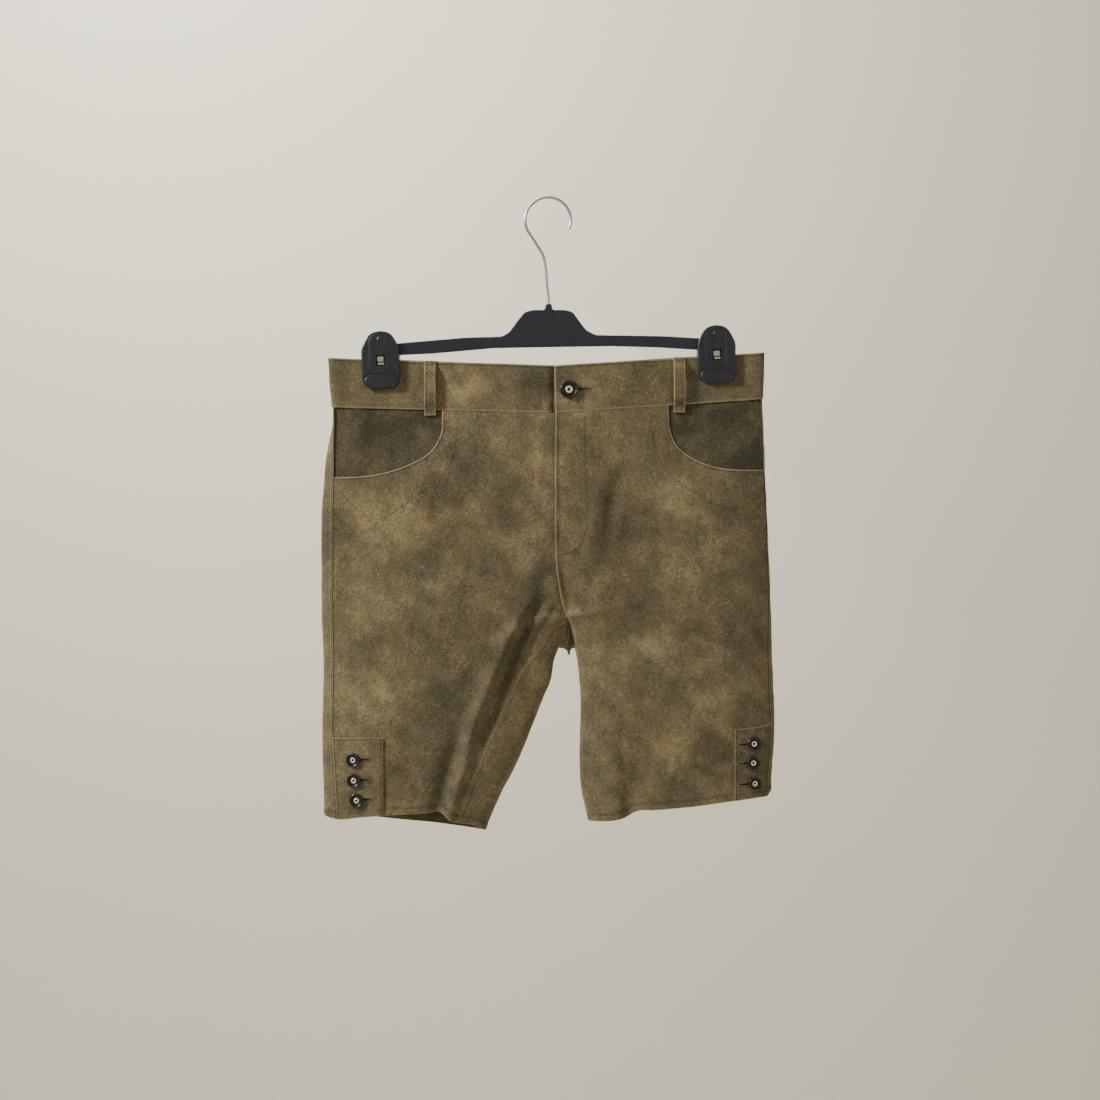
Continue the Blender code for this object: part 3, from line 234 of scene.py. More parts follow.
def trip(half, row):
    """One trip round a row by angle, 0 at the inner fold and pi at the side fold, front first.

    x runs between the folds by (1 - cos) / 2, the depth is a superellipse, and the ends are drawn
    on to the seams, each within its own reach. Returns the function and its first and last angle.
    """
    side_z = half.value("side_z", row)
    side_x = float(half.fold_x(side_z))
    inner_x = half.value("inner_x", row)
    seams = [float(smooth(row, CENTRE_SEAMS[0], values)) for values in CENTRE_SEAMS[1:]]
    closed = row >= CROTCH_ROW
    width = side_x - inner_x
    if closed:
        front_end = np.array([half.value("inseam_x", row), 0.0, half.value("inseam_z", row)])
        back_end = front_end.copy()
        start = math.radians(half.value("inseam_turn", row))
        stop = 2 * math.pi + start
    else:
        front_end, back_end = np.array(seams[:3]), np.array(seams[3:])
        start = math.acos(np.clip(1 - 2 * (front_end[0] - inner_x) / width, -1, 1))
        share = (back_end[0] - inner_x) / width
        stop = 2 * math.pi - math.acos(np.clip(1 - 2 * share, -1, 1))
    if SEAT_ROW < row < CROTCH_ROW:
        past = (row - SEAT_ROW) / (CROTCH_ROW - SEAT_ROW)
        stop = math.radians(SEAT_TURN * (1 - past) + (360 + CROTCH_TURN) * past)
    if row >= SEAT_ROW:
        inner_z = half.value("inner_z", row)
    else:
        inner_z = side_z + (back_end[2] - side_z) * (inner_x - side_x) / (back_end[0] - side_x)
    squeeze = half.value("squeeze", row)

    def raw(angle):
        share = (1 - np.cos(angle)) / 2
        x = inner_x + width * share
        face = np.where(np.sin(angle) > 0, -1, 1)
        reach = np.where(face < 0, half.value("front", row), half.value("back", row))
        depth = reach * (1 - np.abs(np.cos(angle)) ** LENS_POWER) ** (1 / LENS_POWER)
        if squeeze > 0:
            inward = np.abs(side_x - x)
            pressed = np.where(face < 0, squeezed_depth(inward, -1), squeezed_depth(inward, 1))
            depth = (1 - squeeze) * depth + squeeze * pressed
        on_front = (angle < math.pi) & (angle >= start)
        z_front = front_end[2] + (side_z - front_end[2]) * (x - front_end[0]) / (
            side_x - front_end[0])
        z_back = inner_z + (side_z - inner_z) * share
        z = np.where(on_front, z_front, np.where(angle > 2 * math.pi, inner_z, z_back))
        return np.stack([x, face * depth, z], axis=-1)

    first, last = raw(np.array([start]))[0], raw(np.array([stop]))[0]
    if closed:
        past = np.clip((row - CROTCH_ROW) / 2, 0, 1)
        front_end[1] = back_end[1] = CENTRE_SEAMS[2][-1] * (1 - past) + first[1] * past

    def curve(angle):
        points = raw(angle)
        reach = math.radians(np.interp(row, TAIL_ROWS, TAIL_TURNS))
        reach = max(reach, start if closed else 0.0)
        lead = 1 - ease((angle - start) / (math.pi / 2))
        tail = 1 - ease((stop - angle) / reach)
        points = points + np.outer(lead, front_end - first) + np.outer(tail, back_end - last)
        share_down = ease((row - LIFT_ROW) / (HEM_ROW - LIFT_ROW))
        on_front = (angle < math.pi) & (angle >= start)
        points[:, 2] += np.where(on_front, smooth(points[:, 0], *half.lift) * share_down, 0.0)
        return points

    return curve, start, stop


FRONT_SHARES = np.concatenate([[0.0, 0.02], np.linspace(0.06, 1, 15)])
BACK_SHARES = np.concatenate([np.linspace(0, 0.95, 18), [0.972, 0.987, 1.0]])


def between(knots, parts):
    """That many even steps between neighbouring knots."""
    at = np.arange((len(knots) - 1) * parts + 1) / parts
    return np.interp(at, np.arange(len(knots)), knots)


def relaxed(points, rows, shares):
    """A back's grid with the points near the crotch drawn to the middle of their neighbours."""
    loose = np.interp(rows, RELAX_ROWS, (0, 1, 1, 0))[:, None] * np.interp(
        shares, RELAX_SHARES, (0, 1))
    loose[:, -1] = 0
    steps = np.diff(shares)
    pull = (steps[1:] / (steps[:-1] + steps[1:]))[:, None]
    for _ in range(RELAX_PASSES):
        across, down = points.copy(), points.copy()
        across[:, 1:-1] = points[:, :-2] * pull + points[:, 2:] * (1 - pull)
        down[1:-1] = (points[:-2] + points[2:]) / 2
        points = points + loose[..., None] * ((across + down) / 2 - points)
    return points


def hang(half, face):
    """Outer face of a panel on the coarse rows, without creases: rows down, shares across."""
    parts = 1 if face < 0 else FINE
    rows = between(HANG_ROWS, parts)
    shares = between(FRONT_SHARES if face < 0 else BACK_SHARES, parts)
    grid = []
    for row in rows:
        curve, start, stop = trip(half, row)
        angles = np.linspace(max(start, math.pi / 2), math.pi, FOLD_SAMPLES)
        x = curve(angles)[:, 0]
        wanted = x[-1] - half.out * half.value("seam_in", row)
        seam = float(np.interp(0.0, half.out * (x - wanted), angles))
        first, last = (start, seam) if face < 0 else (seam, stop)
        angles = np.linspace(first, last, TRIP_SAMPLES)
        lengths = arc(curve(angles))
        grid.append(curve(np.interp(shares * lengths[-1], lengths, angles)))
    grid = np.array(grid)
    if face > 0:
        grid = relaxed(grid, rows, shares)
    return grid[::parts, ::parts]


def spline(knots, values, at):
    """Natural cubic spline along the first axis: second slopes solve the usual tridiagonal rows."""
    knots = np.asarray(knots, float)
    step = np.diff(knots)
    n = len(knots)
    flat = values.reshape(n, -1)
    rows = np.eye(n)
    right = np.zeros_like(flat)
    rise = np.diff(flat, axis=0) / step[:, None]
    inner = np.arange(1, n - 1)
    rows[inner, inner - 1] = step[:-1]
    rows[inner, inner] = 2 * (step[:-1] + step[1:])
    rows[inner, inner + 1] = step[1:]
    right[inner] = 6 * np.diff(rise, axis=0)
    bend = np.linalg.solve(rows, right)
    k = np.clip(np.searchsorted(knots, at, side="right") - 1, 0, n - 2)
    h = step[k][:, None]
    a = ((knots[k + 1] - at) / step[k])[:, None]
    b = 1 - a
    found = a * flat[k] + b * flat[k + 1] + (
        (a**3 - a) * bend[k] + (b**3 - b) * bend[k + 1]) * h**2 / 6
    return found.reshape((len(at),) + values.shape[1:])


def outward(points, sign):
    """Unit normals of a grid, from its central differences."""
    return unit(np.cross(np.gradient(points, axis=1), np.gradient(points, axis=0)) * sign)


# The four panels: two fronts and two backs cut from one napped hide, 1.4 mm thick. Each is a thin
# shell on the hang above. The fronts' scoops are cut out, the centre front laps left over right,
# and the hems are turned up once and stitched.

EDGE_STEPS = np.array([0.0, 0.35, 0.9, 1.6, 2.1, 2.7, 3.4, 4.2, 5.0, 5.8, 7.0])
HEM_STEPS = np.array([0.0, 0.4, 0.9, 1.6, 2.6, 3.8, 5.0, 6.0, 6.6, 7.2, 8.0, 9.4])
WAIST_STEPS = np.array([0.0, 0.4, 0.9, 1.6, 2.6, 4.0])
ROW_PARTS, MIDDLE_COLUMNS = 7, 88
SEAM_GAP, SEAM_SLIT = 0.3, 0.03

# Creases: a line of (x, z), half width, height (out is positive), fades at the start and the end.
FRONT_CREASES = (
    (((-17.0, -421), (-43.0, -469), (-57.5, -501.5), (-76.0, -552), (-97.5, -621), (-106.5, -653)),
     9.0, 8.6, 50.0, 0.0),
    (((4.0, -414), (-14.0, -436), (-33.0, -469), (-44.0, -501), (-66.0, -552), (-84.0, -600)),
     7.5, -7.6, 30.0, 50.0),
    (((-4.0, -440), (-24.0, -471), (-38.0, -502), (-54.0, -552)), 4.5, 1.6, 14.0, 40.0),
    (((22.0, -439), (8.0, -433), (-8.0, -452), (-17.0, -471), (-31.0, -502)), 3.8, -2.2, 8.0, 30.0),
    (((-78.0, -545), (-97.7, -591), (-113.0, -646)), 11.0, -6.8, 50.0, 0.0),
    (((-150.0, -470), (-165.0, -560), (-160.0, -640)), 34.0, 2.5, 60.0, 60.0),
    (((-40.0, -330), (-120.0, -400), (-190.0, -440)), 26.0, -2.2, 60.0, 60.0),
    (((70.0, -560), (72.0, -610), (68.0, -655)), 15.0, 3.5, 60.0, 0.0),
    (((95.0, -570), (92.0, -615), (90.0, -645)), 11.0, -3.5, 50.0, 0.0),
    (((45.0, -452), (90.0, -470), (150.0, -505)), 18.0, -1.6, 30.0, 60.0),
    (((60.0, -330), (130.0, -390), (195.0, -430)), 26.0, -2.2, 60.0, 60.0),
    (((165.0, -500), (150.0, -570), (160.0, -630)), 34.0, 2.2, 60.0, 60.0),
    (((9.0, -287), (-15.0, -293), (-42.0, -305)), 6.0, -1.3, 4.0, 24.0),
    (((9.0, -276), (-18.0, -282), (-50.0, -290)), 9.0, 0.8, 6.0, 30.0),
    (((94.0, -262), (72.0, -303), (64.5, -340), (59.0, -380), (47.0, -405), (38.0, -428)),
     9.0, -2.4, 40.0, 24.0),
    (((78.0, -268), (55.0, -306), (48.0, -342), (43.0, -378), (32.0, -400)), 9.0, 1.3, 40.0, 24.0),
    (((13.0, -386), (18.0, -410), (25.0, -434)), 4.0, -1.2, 16.0, 8.0),
    (((76.5, -530), (78.5, -590), (84.0, -655)), 4.5, -1.5, 50.0, 0.0),
    (((-8.0, -436), (-30.0, -452), (-42.0, -474)), 6.0, 1.2, 10.0, 20.0),
    (((18.0, -452), (60.0, -446), (112.0, -452)), 10.0, -0.4, 10.0, 40.0),
    (((-214.0, -330), (-206.0, -380), (-214.0, -440)), 10.0, -1.0, 30.0, 30.0),
    (((-120.0, -300), (-96.0, -350), (-88.0, -420)), 22.0, -1.6, 40.0, 60.0),
    (((120.0, -315), (150.0, -322), (196.0, -345)), 14.0, 1.1, 30.0, 40.0),
    (((140.0, -455), (176.0, -458), (226.0, -470)), 13.0, -1.5, 30.0, 20.0),
    (((150.0, -488), (190.0, -496), (222.0, -514)), 10.0, 1.3, 30.0, 20.0),
    (((-60.0, -250), (-30.0, -262), (0.0, -262)), 12.0, 0.8, 20.0, 10.0),
    (((112.0, -560), (124.0, -600), (120.0, -645)), 12.0, 1.0, 30.0, 0.0),
    (((-186.0, -500), (-196.0, -545), (-186.0, -600)), 16.0, 1.3, 30.0, 30.0),
)
BACK_CREASES = (
    (((10.0, -470), (-50.0, -485), (-120.0, -510)), 16.0, -4.5, 30.0, 70.0),
    (((-5.0, -440), (-70.0, -445), (-140.0, -455)), 16.0, -3.0, 30.0, 70.0),
    (((-90.0, -500), (-120.0, -580), (-125.0, -655)), 22.0, 3.5, 60.0, 0.0),
    (((-160.0, -250), (-140.0, -330), (-150.0, -420)), 40.0, 2.5, 60.0, 80.0),
    (((35.0, -470), (90.0, -483), (160.0, -500)), 16.0, -4.5, 30.0, 70.0),
    (((40.0, -438), (100.0, -440), (170.0, -450)), 16.0, -2.6, 30.0, 70.0),
    (((120.0, -500), (140.0, -570), (135.0, -640)), 24.0, 3.2, 60.0, 0.0),
    (((160.0, -250), (150.0, -330), (165.0, -420)), 40.0, 2.5, 60.0, 80.0),
    (((-14.0, -452), (-74.0, -463), (-130.0, -482)), 7.0, 1.6, 16.0, 50.0),
    (((44.0, -452), (96.0, -460), (150.0, -475)), 7.0, 1.6, 16.0, 50.0),
    (((-70.0, -300), (-60.0, -360), (-76.0, -420)), 20.0, -1.5, 50.0, 40.0),
    (((84.0, -296), (74.0, -350), (92.0, -415)), 20.0, -1.6, 50.0, 40.0),
    (((-196.0, -380), (-160.0, -396), (-110.0, -400)), 12.0, -1.2, 30.0, 40.0),
    (((200.0, -372), (168.0, -392), (120.0, -398)), 12.0, -1.3, 30.0, 40.0),
    (((-150.0, -520), (-168.0, -580), (-162.0, -640)), 13.0, -1.6, 40.0, 0.0),
    (((84.0, -520), (92.0, -580), (84.0, -640)), 13.0, -1.5, 40.0, 0.0),
    (((186.0, -500), (194.0, -560), (186.0, -620)), 12.0, -1.3, 40.0, 20.0),
)


def crease_height(creases, x, z):
    """Sum of soft ridges: height * exp(-(distance / half width)^2), faded at both ends."""
    total = np.zeros_like(x)
    for line, half_width, height, fade_in, fade_out in creases:
        points = np.array(line, float)
        spans = np.diff(points, axis=0)
        starts = arc(points)
        best, place = np.full(x.shape, np.inf), np.zeros_like(x)
        for point, span, start in zip(points, spans, starts):
            length = np.hypot(*span)
            t = np.clip(((x - point[0]) * span[0] + (z - point[1]) * span[1]) / length**2, 0, 1)
            distance = np.hypot(x - point[0] - t * span[0], z - point[1] - t * span[1])
            place = np.where(distance < best, start + t * length, place)
            best = np.minimum(distance, best)
        fade = ease(place / fade_in) if fade_in else 1.0
        if fade_out:
            fade = fade * ease((starts[-1] - place) / fade_out)
        total += height * fade * np.exp(-((best / half_width) ** 2))
    return total


WAVES, WAVE_SPREAD = 14, (0.7, 1.5)


def wavering(points, seed, length):
    """Smooth noise, mostly within -1 to 1: sine waves of about that length in fixed directions."""
    draw = np.random.default_rng(seed)
    ways = unit(draw.normal(size=(WAVES, 3)))
    ways = ways * (2 * np.pi / (length * draw.uniform(*WAVE_SPREAD, (WAVES, 1))))
    starts = draw.uniform(0, 2 * np.pi, WAVES)
    return np.sin(points @ ways.T + starts).sum(axis=-1) / math.sqrt(WAVES)


# Rubbed pale (+) and dark (-) places of the fronts, some of the dark ones painted shade along the
# folds: x, z, half width, half height, light, warmth.
FRONT_WEAR_AND_SHADE_PLACES = (
    (-95, -203, 34, 20, 0.75, 0.6), (-19, -199, 24, 20, -0.7, -0.3),
    (-200, -205, 34, 24, 0.1, 0.2), (30, -219, 30, 7, 0.6, 0.3), (60, -198, 26, 16, 0.0, 0.3),
    (117, -210, 16, 14, 0.25, 0.1), (185, -196, 38, 24, -0.15, -0.4),
    (-150, -345, 30, 28, 0.75, 0.6), (-199, -330, 26, 14, 0.4, 0.2),
    (-191, -412, 30, 42, 0.3, 0.2), (-217, -344, 14, 26, -0.55, -0.3),
    (-87, -280, 26, 30, -0.5, -0.1), (-108, -318, 26, 26, -0.5, -0.1),
    (-46, -316, 24, 20, -0.35, 0.1), (-127, -366, 24, 26, -0.25, 0),
    (-39, -258, 26, 18, 0.1, 0.4), (-7, -244, 12, 30, 0.4, 0.1), (-26, -356, 20, 36, 0.4, 0.1),
    (-6, -410, 14, 26, -0.5, -0.3), (92, -240, 30, 18, 0.05, 0.2), (136, -318, 34, 22, 0.65, 0.4),
    (137, -394, 26, 26, 0.4, 0.3), (195, -330, 26, 26, -0.2, -0.2), (-2, -280, 12, 18, 0.3, 0.6),
    (26, -402, 16, 16, 0.25, -0.3), (66, -335, 14, 44, -0.45, -0.2),
    (95, -345, 18, 26, -0.3, 0.1), (-176, -522, 26, 36, 0.55, 0.3),
    (-206, -543, 20, 26, 0.3, 0.1), (-102, -530, 24, 60, -0.45, -0.5),
    (-112, -624, 16, 34, -0.5, -0.3), (-132, -640, 22, 12, 0.3, 0.2),
    (-17, -508, 14, 22, 0.2, 0.7), (-32, -538, 12, 22, 0.25, 0.6), (-70, -440, 30, 30, -0.1, 0.2),
    (-201, -580, 20, 16, 0.35, 0.2), (-190, -650, 30, 12, 0.3, 0.2),
    (45, -493, 14, 30, 0.45, 0.1), (69, -520, 12, 14, 0.15, -0.5), (109, -476, 32, 20, 0.4, 0.2),
    (171, -484, 28, 14, 0.4, 0.0), (199, -505, 16, 9, 0.6, 0.1), (184, -537, 20, 22, 0.55, 0.3),
    (130, -572, 24, 20, 0.4, 0.4), (126, -592, 24, 14, 0.3, 0.3), (209, -463, 24, 24, -0.5, -0.6),
    (151, -458, 24, 16, -0.35, -0.1), (142, -522, 24, 20, -0.25, 0.1),
    (67, -552, 20, 22, -0.25, -0.2), (176, -590, 26, 22, -0.4, -0.5),
    (60, -640, 24, 16, -0.1, -0.3), (100, -425, 40, 26, -0.2, 0.0),
    (200, -400, 26, 34, -0.15, -0.2), (-40, -470, 16, 30, -0.3, -0.3),
    (-160, -455, 36, 24, -0.15, 0.1), (-60, -385, 26, 22, -0.3, 0.2),
    (20, -440, 12, 12, 0.3, 0.2), (-185, -240, 12, 12, -0.5, -0.2),
    (-140, -232, 18, 12, -0.5, -0.2), (-200, -280, 18, 10, 0.3, 0.2),
    (140, -234, 14, 10, -0.6, -0.3), (198, -226, 18, 10, -0.5, -0.2),
    (175, -252, 24, 14, 0.15, 0.1), (216, -276, 14, 10, -0.5, -0.2),
)
BACK_PLACES = (
    (-120, -210, 40, 18, 0.5, 0.4), (60, -205, 34, 18, -0.4, -0.2), (150, -202, 30, 18, 0.3, 0.3),
    (-60, -300, 40, 34, 0.45, 0.4), (-150, -350, 34, 40, -0.4, -0.3),
    (90, -330, 44, 40, 0.4, 0.2), (180, -300, 26, 44, -0.45, -0.3), (0, -400, 34, 30, -0.3, 0.2),
    (-110, -430, 36, 26, 0.35, 0.5), (130, -430, 34, 28, 0.3, 0.3),
    (-180, -520, 30, 44, 0.4, 0.1), (-110, -570, 28, 40, -0.4, -0.4),
    (80, -540, 30, 40, 0.4, 0.3), (170, -560, 36, 40, -0.35, -0.4), (150, -630, 34, 18, 0.3, 0.2),
    (-160, -640, 40, 16, 0.25, 0.3), (30, -250, 30, 24, 0.2, 0.5), (-200, -270, 22, 30, 0.2, 0.0),
)


def hide_tone(points, normals):
    """Light and warmth of the hide, worn and with painted shade in the folds: soft ovals
    exp(-r^2.4) on wavering coordinates, and noise.
    """
    ground = np.stack([wavering(points, seed, 38.0) * 9 + wavering(points, seed + 3, 13.0) * 3.5
                       for seed in (11, 12)], axis=-1)
    x, z = points[:, 0] + ground[:, 0], points[:, 2] + ground[:, 1]
    light, warm = np.zeros(len(points)), np.zeros(len(points))
    ahead = ease((0.35 - normals[:, 1]) / 0.7)
    for places, share in ((FRONT_WEAR_AND_SHADE_PLACES, ahead), (BACK_PLACES, 1 - ahead)):
        for px, pz, wide, high, pale, ochre in places:
            spot = share * np.exp(-((((x - px) / wide) ** 2 + ((z - pz) / high) ** 2) ** 1.2))
            light += pale * spot
            warm += ochre * spot
    light += 0.16 * wavering(points, 21, 46.0) + 0.12 * wavering(points, 22, 17.0)
    light += 0.09 * wavering(points, 23, 7.0)
    warm += 0.25 * wavering(points, 24, 55.0) + 0.15 * wavering(points, 25, 20.0)
    return light, warm


SNAP = 0.02


def divide(table, faces, field):
    """Splits the triangles that a field's zero line crosses. New corners lie where it is zero.

    Corners within SNAP of the line count as on it.
    """
    value = np.where(np.abs(table[:, field]) < SNAP, 0.0, table[:, field])
    table = table.copy()
    table[:, field] = value
    side = np.sign(value[faces])
    mixed = (side.min(axis=1) < 0) & (side.max(axis=1) > 0)
    kept, cut = faces[~mixed], faces[mixed]
    side = side[mixed]
    touching = (side == 0).any(axis=1)
    odd = np.where(
        touching, np.argmax(side == 0, axis=1),
        np.argmax(side * side.sum(axis=1, keepdims=True) < 0, axis=1),
    )
    turn = (odd[:, None] + np.arange(3)) % 3
    a, b, c = np.take_along_axis(cut, turn, axis=1).T
    ends = np.concatenate([
        np.stack([b, c], 1)[touching],
        np.stack([a, b], 1)[~touching], np.stack([a, c], 1)[~touching],
    ])
    pairs, which = np.unique(np.sort(ends, axis=1), axis=0, return_inverse=True)
    which = which.reshape(-1) + len(table)
    low, high = value[pairs[:, 0]], value[pairs[:, 1]]
    share = (low / (low - high))[:, None]
    made = table[pairs[:, 0]] * (1 - share) + table[pairs[:, 1]] * share
    made[:, field] = 0.0
    n, m = int(touching.sum()), int((~touching).sum())
    middle, p, q = which[:n], which[n:n + m], which[n + m:]
    at, bt, ct = a[touching], b[touching], c[touching]
    ao, bo, co = a[~touching], b[~touching], c[~touching]
    new = np.concatenate([
        np.stack([at, bt, middle], 1), np.stack([at, middle, ct], 1),
        np.stack([ao, p, q], 1), np.stack([p, bo, co], 1), np.stack([p, co, q], 1),
    ])
    return np.concatenate([table, made]), np.concatenate([kept, new])


def divide_at(table, faces, levels, reach):
    """Splits the triangles where the last column but one is at each of the levels.

    Only triangles within reach of a level are looked at. The last column is used up.
    """
    for level in levels:
        table[:, -1] = table[:, -2] - level
        near = np.abs(table[faces, -1]).min(axis=1) < reach
        table, cut = divide(table, faces[near], -1)
        faces = np.concatenate([faces[~near], cut])
    return table, faces


def grid_faces(rows, columns, flip):
    """Two triangles for each cell of a grid."""
    index = np.arange(rows * columns).reshape(rows, columns)
    a, b, c, d = index[:-1, :-1], index[1:, :-1], index[1:, 1:], index[:-1, 1:]
    faces = np.concatenate([
        np.stack([a, b, c], -1).reshape(-1, 3), np.stack([a, c, d], -1).reshape(-1, 3)])
    return faces[:, ::-1] if flip else faces


def walled(faces, count):
    """Faces of a closed wall over count points, the same points again behind them, and its rim."""
    steps = np.concatenate([faces[:, [0, 1]], faces[:, [1, 2]], faces[:, [2, 0]]])
    forward, back = steps[:, 0] * count + steps[:, 1], steps[:, 1] * count + steps[:, 0]
    a, b = steps[~np.isin(forward, back)].T
    return np.concatenate([
        faces, faces[:, ::-1] + count,
        np.stack([b, a, a + count], 1), np.stack([b, a + count, b + count], 1),
    ])


PALE, DARK, AWAY = 6, 7, 8


def table_of(points, normals, edge, groove):
    """Rows of x, y, z, the normal, pale edge and groove (painted shade), one for each point of a
    grid.
    """
    return np.column_stack([
        points.reshape(-1, 3), normals.reshape(-1, 3), edge.ravel(), groove.ravel()])


def shell(name, table, faces, thickness, finish, slot, nodes, sharp=50.0):
    """Closed wall of cloth: an outer face, the same face moved in, and a rim round its edges."""
    used, faces = np.unique(faces, return_inverse=True)
    faces = faces.reshape(-1, 3)
    table = table[used]
    outer, normals = table[:, :3], unit(table[:, 3:6])
    points = np.concatenate([outer, outer - normals * thickness])
    light, warm = hide_tone(outer, normals)
    marks = {"light": light, "warm": warm, "edge": table[:, PALE], "groove": table[:, DARK]}
    return cloth_object(name, points, walled(faces, len(table)), marks, finish, slot, nodes, sharp)


def cloth_object(name, points, faces, marks, finish, slot, nodes, sharp=50.0):
    """Mesh object of points in millimetres, with its marks as attributes, riding on the body."""
    mesh = bpy.data.meshes.new(name)
    mesh.vertices.add(len(points))
    mesh.vertices.foreach_set("co", (points * MM).astype(np.float32).ravel())
    mesh.loops.add(faces.size)
    mesh.loops.foreach_set("vertex_index", faces.astype(np.int32).ravel())
    mesh.polygons.add(len(faces))
    mesh.polygons.foreach_set(
        "loop_start", np.arange(0, faces.size, faces.shape[1], dtype=np.int32))
    mesh.update(calc_edges=True)
    mesh.validate()
    mesh.shade_smooth()
    mesh.set_sharp_from_angle(angle=math.radians(sharp))
    for mark, values in marks.items():
        if len(values) < len(points):
            values = np.tile(values, len(points) // len(values))
        attribute = mesh.attributes.new(mark, "FLOAT", "POINT")
        attribute.data.foreach_set("value", values.astype(np.float32))
    mesh.materials.append(finish)
    piece = bpy.data.objects.new(name, mesh)
    bpy.context.scene.collection.objects.link(piece)
    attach(piece, "root")
    if nodes:
        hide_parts(*nodes)
    return piece


# Suede: napped hide, rubbed pale and worn dark, and the same darkened and cooled with painted shade
# for the hip pieces.
# Attributes light and warm carry the rubbed and worn places and the painted shade along the folds,
# edge the raw pale cut edges and groove the painted shade in seams, under stitches and under laps.

class Signal:
    """A shader value or vector whose operators make nodes."""

    def __init__(self, graph, socket):
        self.graph, self.socket = graph, socket

    def join(self, operation, *others):
        return self.graph.node("ShaderNodeMath", {"operation": operation}, self, *others).out()

    def __add__(self, other):
        return self.join("ADD", other)

    def __sub__(self, other):
        return self.join("SUBTRACT", other)

    def __mul__(self, other):
        return self.join("MULTIPLY", other)

    __radd__, __rmul__ = __add__, __mul__

    def __rsub__(self, other):
        return self * -1.0 + other

    def held(self):
        return self.graph.node("ShaderNodeClamp", {}, self).out()


class Made:
    """A made node: out() gives one of its outputs."""

    def __init__(self, graph, node):
        self.graph, self.node = graph, node

    def out(self, which=0):
        return Signal(self.graph, self.node.outputs[which])


class Graph:
    """A material with a Principled shader. node() makes any node: type, settings, then sockets."""

    def __init__(self, name, **constants):
        self.material = bpy.data.materials.new(name)
        self.material.use_nodes = True
        self.tree = self.material.node_tree
        self.shader = self.tree.nodes["Principled BSDF"]
        for socket, value in constants.items():
            self.shader.inputs[socket.replace("_", " ")].default_value = value

    def node(self, kind, settings, *sockets, **named):
        node = self.tree.nodes.new(kind)
        for key, value in settings.items():
            setattr(node, key, value)
        made = Made(self, node)
        for key, value in list(enumerate(sockets)) + list(named.items()):
            socket = node.inputs[key.replace("_", " ") if isinstance(key, str) else key]
            if isinstance(value, Signal):
                self.tree.links.new(value.socket, socket)
            else:
                socket.default_value = value
        return made

    def place(self):
        """Object coordinates: metres in the row frame."""
        return self.node("ShaderNodeTexCoord", {}).out("Object")

    def mark(self, name):
        return self.node("ShaderNodeAttribute", {"attribute_name": name}).out("Fac")

    def noise(self, scale, detail, rough=0.5):
        """Noise from about -1 to 1."""
        found = self.node("ShaderNodeTexNoise", {}, Vector=self.place(), Scale=scale,
                          Detail=detail, Roughness=rough)
        return found.out("Fac") * 2.0 - 1.0

    def colour(self, share, one, other):
        """Colours mixed by a value from 0 to 1."""
        mix = self.node("ShaderNodeMix", {"data_type": "RGBA"}, share)
        for place, value in ((6, one), (7, other)):
            socket = mix.node.inputs[place]
            if isinstance(value, Signal):
                self.tree.links.new(value.socket, socket)
            else:
                socket.default_value = (*value, 1.0)
        return mix.out(2)

    def drive(self, socket, signal):
        self.tree.links.new(signal.socket, self.shader.inputs[socket])

    def mottled(self, noise, colour, low, high):
        """Base colour that runs with a noise between two strengths of one colour."""
        self.drive("Base Color", self.colour(
            (noise * 0.5 + 0.5).held(), [c * low for c in colour], [c * high for c in colour]))

    def bump(self, height, distance, strength):
        made = self.node("ShaderNodeBump", {}, Strength=strength, Distance=distance, Height=height)
        self.drive("Normal", made.out("Normal"))


# Cool and warm tints of the hide: dark, for worn places and painted fold shade; as it lies; and
# rubbed pale.
HIDE_TINTS = (
    ((0.036, 0.035, 0.021), (0.052, 0.040, 0.020)),
    ((0.112, 0.101, 0.057), (0.150, 0.113, 0.054)),
    ((0.27, 0.232, 0.132), (0.345, 0.26, 0.125)),
)
RAW_EDGE, SEAM_SHADE = (0.42, 0.335, 0.19), (0.022, 0.018, 0.011)


def suede(name, shade=0.0, dull=0.0):
    """Napped leather. shade darkens the whole piece as painted shade, dull takes off its warmth."""
    graph = Graph(name, Sheen_Weight=0.22, Sheen_Roughness=0.55, Specular_IOR_Level=0.25)
    graph.shader.inputs["Sheen Tint"].default_value = (0.75, 0.66, 0.5, 1.0)
    nap = graph.noise(330.0, 3.0, 0.65)
    grain = graph.noise(640.0, 3.0, 0.75)
    blotch = graph.noise(90.0, 3.0, 0.55)
    # The light mark brings worn and rubbed places and painted shade in the folds; shade darkens the
    # whole piece.
    light = graph.mark("light") * 0.85 - shade + nap * 0.6 + grain * 1.45 + blotch * 0.24
    warm = graph.mark("warm") * 0.5 - dull + blotch * 0.2
    low, middle, high = (graph.colour((warm + 0.5).held(), *tints) for tints in HIDE_TINTS)
    hide = graph.colour((light + 1.0).held(), low, middle)
    hide = graph.colour(light.held(), hide, high)
    pale = graph.mark("edge") * (0.72 + blotch * 0.5 + nap * 0.4)
    hide = graph.colour(pale.held(), hide, RAW_EDGE)
    # Painted shade in seams, stitch grooves and under laps.
    hide = graph.colour((graph.mark("groove") * 0.62).held(), hide, SEAM_SHADE)
    graph.drive("Base Color", hide)
    graph.drive("Roughness", 0.93 - light * 0.05)
    graph.bump(nap * 0.7 + grain * 0.6 + blotch * 0.3, 0.0006, 0.85)
    return graph.material


HIDE = suede("napped suede")
# Hip pieces: the same hide darkened and cooled as painted shade, for where they lie behind the
# scoops.
HIP_HIDE_IN_PAINTED_SHADE = suede("shaded suede", shade=0.62, dull=0.2)


# Fine grids of the panels: the coarse hang through cubic splines, with more rows by the waist and
# the hem, more columns by the seams, and the creases moved out along the normals.

# Millimetres from row to row at the waist and the hem, and the least share of a row to step.
WAIST_PITCH, HEM_PITCH, LEAST_STEP = 26.0, 15.0, 0.012
LINE_SAMPLES = 500


